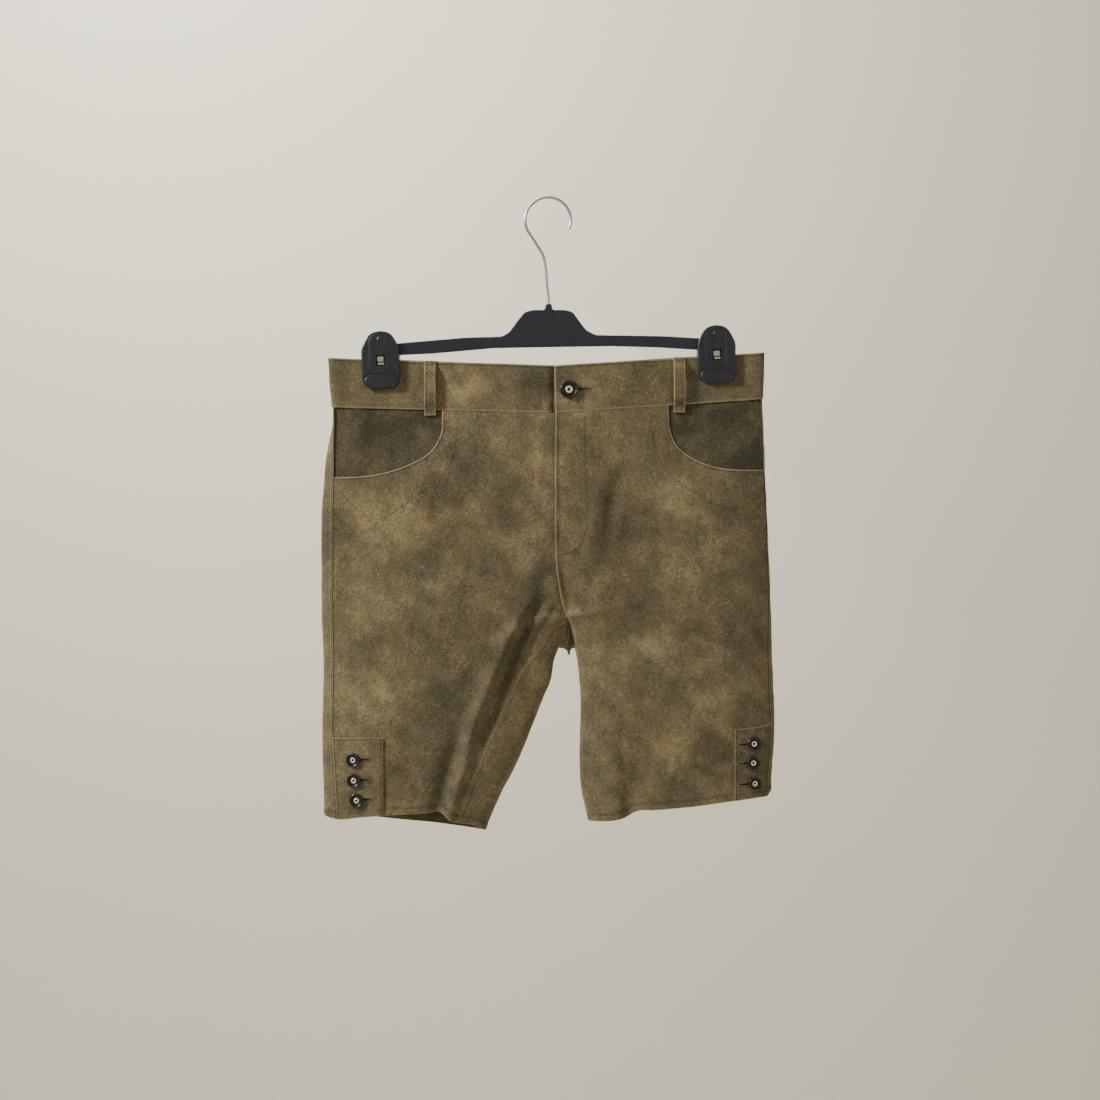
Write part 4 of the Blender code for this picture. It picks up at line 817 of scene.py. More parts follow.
def row_places():
    """Places of the fine rows, counted in coarse rows."""
    last = len(HANG_ROWS) - 1
    inside = np.arange(0, last + 1e-6, 1 / ROW_PARTS)
    places = np.concatenate([inside, WAIST_STEPS / WAIST_PITCH, last - HEM_STEPS / HEM_PITCH])
    places = np.unique(np.round(places, 4))
    keep = np.concatenate([[True], np.diff(places) > LEAST_STEP])
    keep[-1] = True
    return places[keep]


PLACES = row_places()
ROWS = np.interp(PLACES, np.arange(len(HANG_ROWS)), HANG_ROWS)


def edged(steps, whole, count):
    """Stations from 0 to whole: the steps in from both ends and count even ones between them."""
    return np.concatenate([
        steps, np.linspace(steps[-1], whole - steps[-1], count + 2)[1:-1], whole - steps[::-1]])


def fine_grid(half, face):
    """A panel's points on the fine rows and columns."""
    coarse = hang(half, face)
    shares = FRONT_SHARES if face < 0 else BACK_SHARES
    grid = []
    for line in spline(np.arange(len(coarse)), coarse, PLACES):
        dense = spline(shares, line, np.linspace(0, 1, LINE_SAMPLES))
        grid.append(along(dense, edged(EDGE_STEPS, arc(dense)[-1], MIDDLE_COLUMNS)))
    return np.array(grid)


def turned_to(facing):
    """0 to 1 as a face turns to the side that its creases belong to."""
    return np.clip(1.6 * facing - 0.3, 0, 1)


def edge_distance(grid, axis, last):
    """Distance of every point from one edge of its grid, along its row or column."""
    steps = np.linalg.norm(np.diff(grid, axis=axis), axis=-1)
    shape = list(steps.shape)
    shape[axis] = 1
    lengths = np.concatenate([np.zeros(shape), np.cumsum(steps, axis=axis)], axis=axis)
    if last:
        lengths = lengths.take([-1], axis=axis) - lengths
    return lengths


def joined(edges):
    """Edges that meet at a seam share their points and the mean of their normals."""
    points = sum(field[0][at] for field, at in edges) / len(edges)
    normal = unit(sum(field[1][at] for field, at in edges))
    for field, at in edges:
        field[0][at], field[1][at] = points, normal


GRIDS = {}
for side, half in HALVES.items():
    for face in (-1, 1):
        grid = fine_grid(half, face)
        normals = outward(grid, -half.out)
        x, z = grid[..., 0], grid[..., 2]
        facing = normals[..., 1]
        height = crease_height(FRONT_CREASES, x, z) * turned_to(-facing)
        height = height + crease_height(BACK_CREASES, x, z) * turned_to(facing)
        waist_fade = ease((ROWS[:, None] - 0.5) / 3.0)
        height = height * waist_fade + wavering(grid, 31, 26.0) * 0.16 + wavering(
            grid, 32, 9.0) * 0.07
        GRIDS[side, face] = [grid + normals * height[..., None], None]
        GRIDS[side, face][1] = outward(GRIDS[side, face][0], -half.out)

CROTCH = int(np.argmin(np.abs(ROWS - CROTCH_ROW)))
EVERY, LOWER, UPPER = slice(None), slice(CROTCH + 1, None), slice(0, CROTCH)
for side in HALVES:
    front, back = GRIDS[side, -1], GRIDS[side, 1]
    joined([(front, (EVERY, -1)), (back, (EVERY, 0))])
    joined([(front, (LOWER, 0)), (back, (LOWER, -1))])
for face, column in ((-1, 0), (1, -1)):
    joined([(GRIDS["right", face], (UPPER, column)), (GRIDS["left", face], (UPPER, column))])
joined([(GRIDS[side, face], (CROTCH, column))
        for side in HALVES for face, column in ((-1, 0), (1, -1))])

# Pocket scoops by (x, z), from the waist seam to the side seam.
SCOOPS = {
    "right": (
        (-111.6, -212.0), (-111.6, -242.0), (-115.6, -255.8), (-124.7, -268.6), (-140.5, -278.4),
        (-159.0, -286.0), (-181.7, -291.6), (-204.3, -293.9), (-252.0, -294.4),
    ),
    "left": (
        (126.7, -208.0), (127.4, -238.0), (131.9, -254.6), (142.2, -267.8), (159.2, -277.9),
        (182.0, -284.8), (204.8, -286.5), (252.0, -285.9),
    ),
}
SCOOP_LEVELS, SCOOP_REACH = (0.0, 0.5, 1.2, 1.7, 2.3, 3.2), 6.0
# Below this height a front has no scoop, and its points count as far off from one.
SCOOP_FLOOR, FAR_OFF = -330, 99.0


def rounded(points, count):
    """Smooth curve through a few points, by chord length."""
    points = np.array(points, float)
    lengths = arc(points)
    at = np.linspace(0, lengths[-1], count)
    return np.stack([smooth(at, lengths, points[:, k]) for k in range(points.shape[1])], axis=-1)


def line_distance(line, x, z):
    """Distance from a line in (x, z), negative on the left of its run."""
    best, sign = np.full(x.shape, np.inf), np.ones_like(x)
    for (ax, az), (bx, bz) in zip(line, line[1:]):
        dx, dz = bx - ax, bz - az
        t = np.clip(((x - ax) * dx + (z - az) * dz) / (dx * dx + dz * dz), 0, 1)
        gap = np.hypot(x - ax - t * dx, z - az - t * dz)
        side = np.sign(dx * (z - az) - dz * (x - ax))
        sign = np.where(gap < best - 1e-9, np.where(side == 0, 1, side), sign)
        best = np.minimum(best, gap)
    return best * -sign


def bell(distance, at, wide):
    """A rounded ridge along a line: exp(-((distance - at) / wide)^2)."""
    return np.exp(-(((distance - at) / wide) ** 2))


def rolled(distance, reach):
    """How far an edge is rolled over: (1 - distance / reach)^2 within reach of it."""
    return np.clip(1 - distance / reach, 0, 1) ** 2


OUTERS = {}


def panel(side, face):
    """One panel as a shell, with its edges, laps, stitch grooves and, in front, its scoop."""
    half = HALVES[side]
    points, normals = GRIDS[side, face]
    first, last = edge_distance(points, 1, False), edge_distance(points, 1, True)
    top, hem = edge_distance(points, 0, False), edge_distance(points, 0, True)
    above = (ROWS < CROTCH_ROW)[:, None]
    centre, side_seam = (first, last) if face < 0 else (last, first)
    rise = -0.4 * rolled(side_seam, 1.8) - 0.45 * rolled(centre, 1.8) * ~above
    rise = rise - 0.3 * rolled(top, 1.6)
    groove = 0.8 * bell(side_seam, 0, 0.7) + 0.6 * bell(top, 0, 0.8)
    edge = np.zeros_like(rise)
    if face < 0:
        laps = 1.0 if side == "left" else -0.35
        rise = rise + laps * ease((6 - centre) / 5) * above * ease((CROTCH_ROW - ROWS) / 2)[:, None]
        edge += bell(centre, 0, 1.1) * above * (side == "left")
        # The right front's edge under the left front's lap gets a painted shadow.
        groove += 1.5 * bell(centre, 0, 0.9) * above * (side == "right")
        edge += 0.4 * (bell(centre, 0.3, 0.8) + bell(centre, 3.5, 0.9)) * ~above
        groove += 0.8 * bell(side_seam, 0.2, 1.0)
    else:
        rise = rise + 0.55 * ease((4.5 - side_seam) / 3.5)
        edge += 0.85 * bell(side_seam, 0, 0.9) + 0.35 * bell(side_seam, 2.8, 0.5)
        groove += 0.5 * bell(side_seam, 2.1, 0.4)
        groove += 0.9 * bell(centre, 0, 0.8) * above
    rise = rise + 0.55 * ease((7.6 - hem) / 0.9) - 0.3 * bell(hem, 6.4, 0.6) - 0.5 * rolled(hem, 1)
    edge += 0.8 * bell(hem, 0, 0.8)
    groove += 0.9 * bell(hem, 8.1, 0.6) + 0.35 * bell(hem, 6.4, 0.5)
    # In place: the pieces that are laid on a panel later start from its slit edges.
    for place, inside in (((EVERY, 0), (EVERY, 1)), ((EVERY, -1), (EVERY, -2)), (0, 1)):
        points[place] = points[place] + unit(points[inside] - points[place]) * SEAM_SLIT
    outer = points + normals * rise[..., None]
    name = f"{'front' if face < 0 else 'back'}_{side}"
    OUTERS[name] = outer, normals
    table = table_of(outer, normals, edge, groove)
    faces = grid_faces(*outer.shape[:2], half.out > 0)
    if face < 0:
        away = line_distance(rounded(SCOOPS[side], 60), table[:, 0], table[:, 2]) * half.out
        away = np.where(table[:, 2] > SCOOP_FLOOR, away, FAR_OFF)
        table = np.column_stack([table, away, away])
        table, faces = divide_at(table, faces, SCOOP_LEVELS, SCOOP_REACH)
        faces = faces[table[faces, AWAY].mean(axis=1) > 0]
        away = table[:, AWAY]
        table[:, PALE] += bell(away, 0, 1.1)
        table[:, DARK] += 0.45 * bell(away, 2.1, 0.6)
        table[:, :3] += table[:, 3:6] * (
            0.3 * ease((5 - away) / 4) - 0.25 * bell(away, 2.0, 0.6)
            - 0.4 * rolled(away, 0.8))[:, None]
    return shell(f"leather_{name}", table, faces, LEATHER, HIDE, "suede", [name], 60.0)


PANELS = {(side, face): panel(side, face) for side in HALVES for face in (-1, 1)}


# The smaller leather pieces: hip pieces behind the scoops, the two waistband halves with the right
# one running on under the left, the vent plackets, and five belt loops that stand off the band.

HIP_MARGIN, HIP_EDGE_GAP = 14.0, 0.45
PLACKETS = {"right": (-567.0, -172.0), "left": (-553.0, 195.0)}
PLACKET_LEATHER, PLACKET_COLUMNS = 1.2, 18
BAND_HEIGHT, BAND_ROWS, BAND_COLUMNS, BAND_SAMPLES = 51.0, 11, 148, 700
BAND_STEP, BAND_UNDERLAP, BAND_JOG_CLEAR = 0.4, 34.0, 2.0
BAND_JOG = np.array([0.6, 3.0, 5.5, 9.0])
# Points at the start of the right band's lines that stay as under() makes them.
LAP_POINTS = 19
BAND_CENTRES = {-1: ((7.4, 6.4), (-226.8, -176.9)), 1: ((5.0, 4.4), (-225.0, -174.4))}
BAND_EDGES = np.array([0.0, 0.35, 0.8, 1.4, 2.0, 2.6, 3.4, 4.6])
LOOPS = (
    ("belt_loop_front_right", -124.2, -171.6, -228.9, -1),
    ("belt_loop_front_left", 138.3, -167.6, -225.6, -1),
    ("belt_loop_back_right", -132.0, -171.4, -228.6, 1),
    ("belt_loop_back_left", 141.0, -167.0, -225.0, 1),
    ("belt_loop_centre_back", 4.8, -173.8, -231.0, 1),
)
LOOP_WIDTH, LOOP_LEATHER, LOOP_STAND, LOOP_SEAM = 12.0, 1.6, 5.4, 0.88
# Fine rows of a panel that a loop can reach, and a loop's columns in shares of its width.
LOOP_ROWS = 60
LOOP_COLUMNS = np.array([-1, -0.93, -0.82, -0.72, -0.5, 0, 0.5, 0.72, 0.82, 0.93, 1.0]) / 2
LOOP_ARCH = np.array([
    (0.0, 0.0), (0.07, 0.0), (0.15, 0.55), (0.22, 0.94), (0.30, 1.0), (0.68, 1.0),
    (0.76, 0.94), (0.82, 0.55), (0.89, 0.06), (0.95, 0.0), (1.0, 0.0),
])


def drawn_in(points, gap):
    """Edges of a grid moved in by the gap, towards the next row or column."""
    moved = points.copy()
    for edge, inside in ((0, 1), (-1, -2)):
        moved[edge] += unit(points[inside] - points[edge]) * gap
        moved[:, edge] += unit(points[:, inside] - points[:, edge]) * gap
    return moved


def hip_piece(side):
    """The front's own points beside and below the scoop, moved in behind it."""
    half = HALVES[side]
    points, normals = GRIDS[side, -1]
    scoop = SCOOPS[side]
    inner_x = scoop[0][0] - half.out * HIP_MARGIN
    lowest = min(z for _, z in scoop) - HIP_MARGIN
    rows = int(np.argmax(points[:, -1, 2] < lowest)) + 1
    start = int(np.argmax(half.out * (points[rows // 2, :, 0] - inner_x) > 0))
    points, normals = points[:rows, start:], normals[:rows, start:]
    behind = drawn_in(points - normals * (LEATHER + SEAM_GAP), HIP_EDGE_GAP)
    seam = edge_distance(points, 1, True)
    groove = 0.9 * bell(seam, 0.4, 1.1) + 0.7 * bell(edge_distance(points, 0, False), 0, 1.4)
    table = table_of(behind, normals, np.zeros_like(seam), groove)
    faces = grid_faces(*points.shape[:2], half.out > 0)
    name = f"hip_piece_{side}"
    return shell(f"leather_{name}", table, faces, LEATHER, HIP_HIDE_IN_PAINTED_SHADE, "suede_hip", [name])


def band_point(half, x, share, face):
    """Outer face of the waistband at x, share 0 at the seam and 1 at the top."""
    fold_z = (half.value("side_z", 0), half.fold[0].max())
    fold_x = [float(half.fold_x(z)) for z in fold_z]
    centre_x, centre_z = BAND_CENTRES[face]
    out_x, in_x, out_z, in_z = (
        a + (b - a) * share for a, b in (fold_x, centre_x, fold_z, centre_z))
    z = in_z + (out_z - in_z) * (x - in_x) / (out_x - in_x)
    depth = squeezed_depth(np.abs(out_x - x), face)
    depth = depth + BAND_STEP * np.clip(np.abs(out_x - x) / FOLD_RADIUS, 0, 1)
    return np.stack([x, face * depth, z], axis=-1), out_x, in_x


def band_line(half, share):
    """One line round the waistband from the centre front to the centre back."""
    _, out_x, front_x = band_point(half, np.zeros(1), share, -1)
    _, _, back_x = band_point(half, np.zeros(1), share, 1)
    turn = np.linspace(0, math.pi / 2, BAND_SAMPLES)
    front = band_point(half, front_x + (out_x - front_x) * np.sin(turn), share, -1)[0]
    back = band_point(half, back_x + (out_x - back_x) * np.sin(turn[::-1]), share, 1)[0]
    line = np.concatenate([front, back[1:]])
    return along(line, edged(BAND_EDGES, arc(line)[-1], BAND_COLUMNS))


def under(line, share):
    """The right band's end stepped in behind the left's and carried on under it."""
    sunk = BAND_LEATHER + SEAM_GAP
    end_x = band_point(LEFT, np.zeros(1), share, -1)[2]
    run = band_point(LEFT, end_x + np.linspace(BAND_UNDERLAP, 0, 13)[:-1], share, -1)[0]
    jog_x = end_x - between(BAND_JOG, 3)
    jog = band_point(RIGHT, jog_x, share, -1)[0]
    run[:, 1] += sunk
    jog[:, 1] += sunk * ease((jog_x - jog_x[-1]) / (jog_x[0] - jog_x[-1]))
    kept = (line[:, 0] < jog_x[-1] - BAND_JOG_CLEAR) | (line[:, 1] > 0)
    return np.concatenate([run, jog, line[kept]])


def waistband(side):
    """One half of the band, from its lines; the right one's are evened to the same count."""
    half = HALVES[side]
    shares = edged(BAND_EDGES / BAND_HEIGHT, 1, BAND_ROWS)
    grid = [band_line(half, share) for share in shares]
    if side == "right":
        grid = [under(line, share) for line, share in zip(grid, shares)]
        least = min(len(line) for line in grid) - LAP_POINTS
        grid = [np.concatenate([line[:LAP_POINTS], along(line[LAP_POINTS:], np.linspace(
            0, arc(line[LAP_POINTS:])[-1], least))]) for line in grid]
    grid = np.array(grid)
    normals = outward(grid, half.out)
    grid = drawn_in(grid, SEAM_SLIT)
    low, top = edge_distance(grid, 0, False), edge_distance(grid, 0, True)
    ends = np.minimum(edge_distance(grid, 1, False), edge_distance(grid, 1, True))
    swell = wavering(grid, 33, 30.0) * 0.14 + wavering(grid, 34, 11.0) * 0.07
    inside = ease(np.minimum(np.minimum(low, top), ends) / 4)
    rise = swell * inside - 0.25 * (bell(low, 2.0, 0.6) + bell(top, 2.5, 0.6))
    rise = rise - 0.5 * rolled(np.minimum(low, top), 1.1)
    edge = bell(low, 0, 1.1) + 0.8 * bell(top, 0, 1.3)
    groove = 0.35 * bell(low, 2.1, 0.5) + 0.55 * bell(top, 2.6, 0.6)
    if side == "left":
        first = edge_distance(grid, 1, False)
        edge = edge + 0.9 * bell(first, 0, 1.0)
        rise = rise + 0.25 * ease((5 - first) / 3) - 0.4 * rolled(first, 1)
        groove = groove + 0.35 * bell(first, 2.1, 0.5)
    else:
        # A painted shadow on the right band beside the left band's end, which stands over it.
        front = grid[..., 1] < 4
        groove = groove + 1.2 * bell(grid[..., 0], 4.6, 1.3) * front
    name = f"waistband_{side}"
    outer = grid + normals * rise[..., None]
    OUTERS[name] = outer, normals
    table = table_of(outer, normals, edge, groove)
    faces = grid_faces(*grid.shape[:2], half.out < 0)
    return shell(f"leather_{name}", table, faces, BAND_LEATHER, HIDE, "suede", [name], 60.0)


def placket(side):
    """The front's own points beside the side seam, moved out on to it."""
    half = HALVES[side]
    points, normals = GRIDS[side, -1]
    top, inner_x = PLACKETS[side]
    begin = np.interp(top, points[::-1, -1, 2], np.arange(len(points))[::-1])
    last = len(points) - 1
    places = np.concatenate([
        begin + np.array([0, 0.15, 0.4]), np.arange(math.ceil(begin + 0.5), last - 2.2, 0.75),
        last - np.array([1.6, 0.8, 0.3, 0.0])])
    grid, out = [], []
    for at in places:
        low = min(int(at), last - 1)
        line, bend = (field[low] * (1 - at + low) + field[low + 1] * (at - low)
                      for field in (points, normals))
        order = np.argsort(line[:, 0])
        first = np.interp(inner_x, line[order, 0], order)
        lengths = arc(line)
        start = np.interp(first, np.arange(len(line)), lengths)
        run = start + edged(EDGE_STEPS[:6], lengths[-1] - start, PLACKET_COLUMNS)
        grid.append(along(line, run))
        index = np.interp(run, lengths, np.arange(len(line)))
        out.append(np.stack([np.interp(index, np.arange(len(line)), bend[:, k])
                             for k in range(3)], -1))
    grid, out = np.array(grid), unit(np.array(out))
    grid = drawn_in(grid + out * (SEAM_GAP + PLACKET_LEATHER), SEAM_GAP / 2)
    inner, outer = edge_distance(grid, 1, False), edge_distance(grid, 1, True)
    head, foot = edge_distance(grid, 0, False), edge_distance(grid, 0, True)
    near = np.minimum(np.minimum(inner, outer), head)
    rise = 0.45 - 0.25 * bell(near, 2.0, 0.6) - 0.5 * rolled(near, 0.9)
    rise = rise + wavering(grid, 35, 14.0) * 0.12 * ease(near / 4)
    edge = 0.3 * bell(near, 0, 0.9) + 0.6 * bell(foot, 0, 0.9)
    groove = 0.35 * bell(near, 2.0, 0.5)
    name = f"vent_placket_{side}"
    outer = grid + out * rise[..., None]
    OUTERS[name] = outer, out
    table = table_of(outer, out, edge, groove)
    faces = grid_faces(*grid.shape[:2], half.out > 0)
    return shell(f"leather_{name}", table, faces, PLACKET_LEATHER, HIDE, "suede", [name], 60.0)


def depth_at(side, face, x, z):
    """How far a panel's outer face stands before or behind the middle at (x, z), near its top."""
    points = GRIDS[side, face][0][:LOOP_ROWS]
    order = np.argsort(points[..., 0], axis=1)
    lines = np.take_along_axis(points, order[..., None], axis=1)
    cross = np.array([[np.interp(x, line[:, 0], line[:, k]) for k in (1, 2)] for line in lines])
    return face * float(np.interp(z, cross[::-1, 1], cross[::-1, 0]))


def belt_loop(name, x, top, end, face):
    """A strip sewn down at both ends and arched over a belt between them."""
    side = "left" if name.endswith("left") else "right"
    across = x + LOOP_COLUMNS * LOOP_WIDTH
    shares = np.unique(np.concatenate([[0.006, 0.018, 0.982, 0.994], between(LOOP_ARCH[:, 0], 5)]))
    stands = smooth(shares, LOOP_ARCH[:, 0], LOOP_ARCH[:, 1])
    grid = []
    for share, stand in zip(shares, stands):
        z = top + (end - top) * share
        band = band_point(HALVES[side], across, 0.5, face)[0][:, 1] * face
        panel_face = np.array([depth_at(side, face, at, z) for at in across])
        seat = np.maximum(band, panel_face) if share > LOOP_SEAM else band
        clear = SEAM_GAP + LOOP_STAND * stand + LOOP_LEATHER
        grid.append(np.stack([across, face * (seat + clear), np.full(len(across), z)], -1))
    grid = np.array(grid)
    normals = outward(grid, 1.0)
    sign = np.sign(np.sum(normals[..., 1]) * face)
    normals = normals * sign
    sides = np.minimum(edge_distance(grid, 1, False), edge_distance(grid, 1, True))
    ends = np.minimum(edge_distance(grid, 0, False), edge_distance(grid, 0, True))
    rise = 0.2 - 0.25 * bell(sides, 1.7, 0.5) - 0.45 * rolled(sides, 0.7)
    edge = bell(sides, 0, 0.8) + 0.8 * bell(ends, 0, 0.9)
    table = table_of(grid + normals * rise[..., None], normals, edge, 0.45 * bell(sides, 1.7, 0.5))
    faces = grid_faces(*grid.shape[:2], sign < 0)
    return shell(f"leather_{name}", table, faces, LOOP_LEATHER, HIDE, "suede", [name], 60.0)


HIPS = {side: hip_piece(side) for side in HALVES}
BANDS = {side: waistband(side) for side in HALVES}
PLACKET_PIECES = {side: placket(side) for side in HALVES}
LOOP_PIECES = [belt_loop(*loop) for loop in LOOPS]


# Thread: waxed linen stitches about 3 mm apart, on every seam and turned edge, and the buttonholes
# with their overcast edges. Each stitch is a small capsule that dips into the leather at both ends.

PITCH, STITCH, THREAD = 3.1, 2.35, 0.27


def thread(name, colour):
    graph = Graph(name, Specular_IOR_Level=0.3)
    twist = graph.noise(1500.0, 1.0)
    graph.mottled(twist, colour, 0.72, 1.25)
    graph.drive("Roughness", 0.8 + twist * 0.08)
    return graph.material


DARK_THREAD = thread("dark thread", (0.062, 0.048, 0.027))
TAN_THREAD = thread("tan thread", (0.33, 0.26, 0.15))
HOLE_THREAD = thread("buttonhole thread", (0.19, 0.148, 0.082))
SLIT_SHADOW = thread("slit shadow", (0.012, 0.010, 0.007))


def merged(parts):
    """One set of points and faces from several."""
    count = np.cumsum([0] + [len(points) for points, _ in parts])
    return np.concatenate([points for points, _ in parts]), np.concatenate(
        [faces + start for (_, faces), start in zip(parts, count)])


def tree_of(pieces):
    """Search tree of the pieces' faces, in millimetres."""
    parts = []
    for piece in pieces:
        mesh = piece.data
        co = np.empty(len(mesh.vertices) * 3, np.float32)
        mesh.vertices.foreach_get("co", co)
        index = np.empty(len(mesh.loops), np.int32)
        mesh.loops.foreach_get("vertex_index", index)
        parts.append((co.reshape(-1, 3) / MM, index.reshape(-1, 3)))
    points, faces = merged(parts)
    return BVHTree.FromPolygons(points.tolist(), faces.tolist())


CLOTH = tree_of([*PANELS.values(), *HIPS.values(), *BANDS.values(), *PLACKET_PIECES.values()])
LOOP_TREE = tree_of(LOOP_PIECES)
CLEAR_OF_CLOTH, LAID_STEP = 80.0, 0.8


def struck(x, z, face=-1, tree=CLOTH):
    """Point and normal where a ray along Y meets the cloth from before or behind."""
    point, normal, _, _ = tree.ray_cast(
        Vector((x, face * CLEAR_OF_CLOTH, z)), Vector((0, -face, 0)))
    if point is None:
        return None
    return point, normal if normal.y * face > 0 else -normal


def laid(line, face=-1, tree=CLOTH):
    """Points and normals where a line of (x, z) meets the cloth, from before or behind."""
    line = np.array(line, float)
    whole = arc(line)[-1]
    line = along(line, np.linspace(0, whole, max(3, int(whole / LAID_STEP))))
    hits = [struck(x, z, face, tree) for x, z in line]
    found = np.array([(*point, *normal) for point, normal in filter(None, hits)])
    return found[:, :3], unit(found[:, 3:])


# Points of a row among which a stitch line near an edge is looked for.
SEARCHED = 60


def grid_line(points, normals, distance, last=False, across=False, rows=slice(None)):
    """The line at a distance from a grid's first or last column, or, across, from a row."""
    if across:
        points, normals = points.transpose(1, 0, 2), normals.transpose(1, 0, 2)
    if last:
        points, normals = points[:, ::-1], normals[:, ::-1]
    line, out = [], []
    for row, bend in zip(points[rows], normals[rows]):
        lengths = arc(row[:SEARCHED])
        at = np.interp(distance, lengths, np.arange(len(lengths)))
        low = min(int(at), len(lengths) - 2)
        line.append(row[low] * (1 - at + low) + row[low + 1] * (at - low))
        out.append(bend[low])
    return np.array(line), unit(np.array(out))


def capsules(starts, ends, normals, radii):
    """Points and faces of stitches: three rings of six, then the two ends, arched a little."""
    way, radius = ends - starts, radii[:, None]
    length = np.linalg.norm(way, axis=1, keepdims=True)
    way = way / length
    out = unit(normals - way * np.sum(normals * way, axis=1, keepdims=True))
    beside = np.cross(way, out)
    middle = (starts + ends) / 2
    turn = np.arange(6) * math.pi / 3
    rings = []
    for share, size, lift in ((-0.36, 0.85, 0.45), (0.0, 1.0, 0.8), (0.36, 0.85, 0.45)):
        centre = middle + way * length * share + out * radius * lift
        ring = centre[:, None] + (
            out[:, None] * np.cos(turn)[:, None] + beside[:, None] * np.sin(turn)[:, None]
        ) * (radius * size)[:, None]
        rings.append(ring)
    first = middle - way * length * 0.52 - out * radius * 0.6
    last = middle + way * length * 0.52 - out * radius * 0.6
    points = np.concatenate([np.concatenate(rings, axis=1), first[:, None], last[:, None]], axis=1)
    k = np.arange(6)
    n = (k + 1) % 6
    one = np.concatenate([
        np.stack([np.full(6, 18), k, n], 1),
        np.stack([k, k + 6, n + 6], 1), np.stack([k, n + 6, n], 1),
        np.stack([k + 6, k + 12, n + 12], 1), np.stack([k + 6, n + 12, n + 6], 1),
        np.stack([np.full(6, 19), n + 12, k + 12], 1),
    ])
    faces = one[None] + np.arange(len(starts))[:, None, None] * 20
    return points.reshape(-1, 3), faces.reshape(-1, 3)


def seam_stitches(lines, pitch=PITCH, length=STITCH, radius=THREAD, seed=5):
    """Stitches along lines of points and normals, each a little uneven."""
    draw = np.random.default_rng(seed)
    starts, ends, outs = [], [], []
    for points, normals in lines:
        lengths = arc(points)
        count = max(1, int(lengths[-1] / pitch))
        at = (np.arange(count) + 0.5) * lengths[-1] / count + draw.normal(0, 0.08, count)
        half = length / 2 * draw.uniform(0.9, 1.08, count)
        place = np.interp(at, lengths, np.arange(len(points))).astype(int)
        starts.append(along(points, at - half))
        ends.append(along(points, at + half))
        outs.append(normals[place])
    starts, ends, outs = (np.concatenate(part) for part in (starts, ends, outs))
    tilt = np.cross(unit(ends - starts), outs) * draw.normal(0, 0.06, (len(starts), 1))
    return capsules(starts - tilt, ends + tilt, outs, radius * draw.uniform(0.9, 1.1, len(starts)))


def sewn(name, parts, finish):
    """One mesh object of several sets of points and faces."""
    return cloth_object(name, *merged(parts), {}, finish, None, (), 80.0)


SCOOP_HEAD, SCOOP_END = -232, 222


def scoop_beside(side, distance):
    """The scoop's line moved out on to the front by a distance, short of the waist and the side."""
    line = rounded(SCOOPS[side], 120)
    way = unit(np.gradient(line, axis=0))
    off = np.stack([way[:, 1], -way[:, 0]], axis=-1) * HALVES[side].out
    line = line + off * distance
    return line[(line[:, 1] < SCOOP_HEAD) & (np.abs(line[:, 0]) < SCOOP_END)]


# Lines sewn through the fronts: round the right and the left pocket bag, and down the fly.
INNER_LINES = (
    ((-94.5, -231.0), (-97.0, -256.0), (-101.9, -278.3), (-119.7, -299.3), (-144.9, -319.2),
     (-162.8, -331.8), (-177.5, -338.1), (-191.1, -333.9), (-206.9, -322.4), (-218.6, -309.6)),
    ((108.0, -229.0), (110.0, -252.0), (115.5, -274.0), (131.0, -294.0), (154.0, -311.0),
     (173.0, -322.5), (190.0, -327.5), (209.0, -322.0), (222.0, -313.0)),
    ((37.8, -231.0), (38.6, -270.0), (39.8, -310.0), (40.6, -340.0), (38.6, -356.0),
     (32.0, -367.0), (22.0, -374.0), (13.0, -377.0)),
)

dark, tan = [], []
for side, half in HALVES.items():
    front, back = OUTERS[f"front_{side}"], OUTERS[f"back_{side}"]
    band, flap = OUTERS[f"waistband_{side}"], OUTERS[f"vent_placket_{side}"]
    dark.append(grid_line(*band, 2.6, last=True, across=True))
    tan.append(grid_line(*band, 2.1, across=True))
    dark.append(laid(scoop_beside(side, 2.1)))
    dark.append(grid_line(*back, 2.1, rows=slice(4, len(ROWS) - 3)))
    hem, hem_out = grid_line(*front, 6.4, last=True, across=True)
    clear = hem[:, 0] * half.out < PLACKETS[side][1] * half.out - 1
    dark.append((hem[clear], hem_out[clear]))
    dark += [grid_line(*piece, 6.4, last=True, across=True) for piece in (flap, back)]
    dark += [grid_line(*flap, 2.0, last=at_last) for at_last in (False, True)]
    dark.append(grid_line(*flap, 2.0, across=True))
    tan += [grid_line(*front, distance, rows=slice(CROTCH + 1, len(ROWS) - 2))
            for distance in (1.8, 5.2)]
    tan.append(grid_line(*back, 1.9, last=True, rows=slice(3, CROTCH - 1)))
tan.append(grid_line(*OUTERS["front_left"], 1.9, rows=slice(3, CROTCH - 2)))
tan.append(grid_line(*OUTERS["waistband_left"], 2.1))
dark += [laid(rounded(line, 160)) for line in INNER_LINES]
sewn("stitches_dark", [seam_stitches(dark)], DARK_THREAD)

loop_lines = []
for name, x, top, end, face in LOOPS:
    for side in (-1, 1):
        edge = x + side * (LOOP_WIDTH / 2 - 1.6)
        loop_lines.append(laid(((edge, top - 2), (edge, end + 2)), face, LOOP_TREE))
    for z in (top - 2.2, end + 2.4):
        loop_lines.append(laid(((x - 4.4, z), (x + 4.4, z)), face, LOOP_TREE))
tack = [laid(((8.6, -371.3), (27.6, -369.9))), laid(((9.0, -375.2), (26.5, -370.6)))]
sewn("stitches_tan", [
    seam_stitches(tan, seed=6), seam_stitches(loop_lines, 2.7, 1.9, 0.24, seed=7),
    seam_stitches(tack, 1.5, 1.45, 0.34, seed=8)], TAN_THREAD)

# How far each lip of a slit gapes, and the step and the radius of the stitches over it.
GAPE, OVERCAST_PITCH, OVERCAST_THREAD = 1.35, 0.95, 0.33
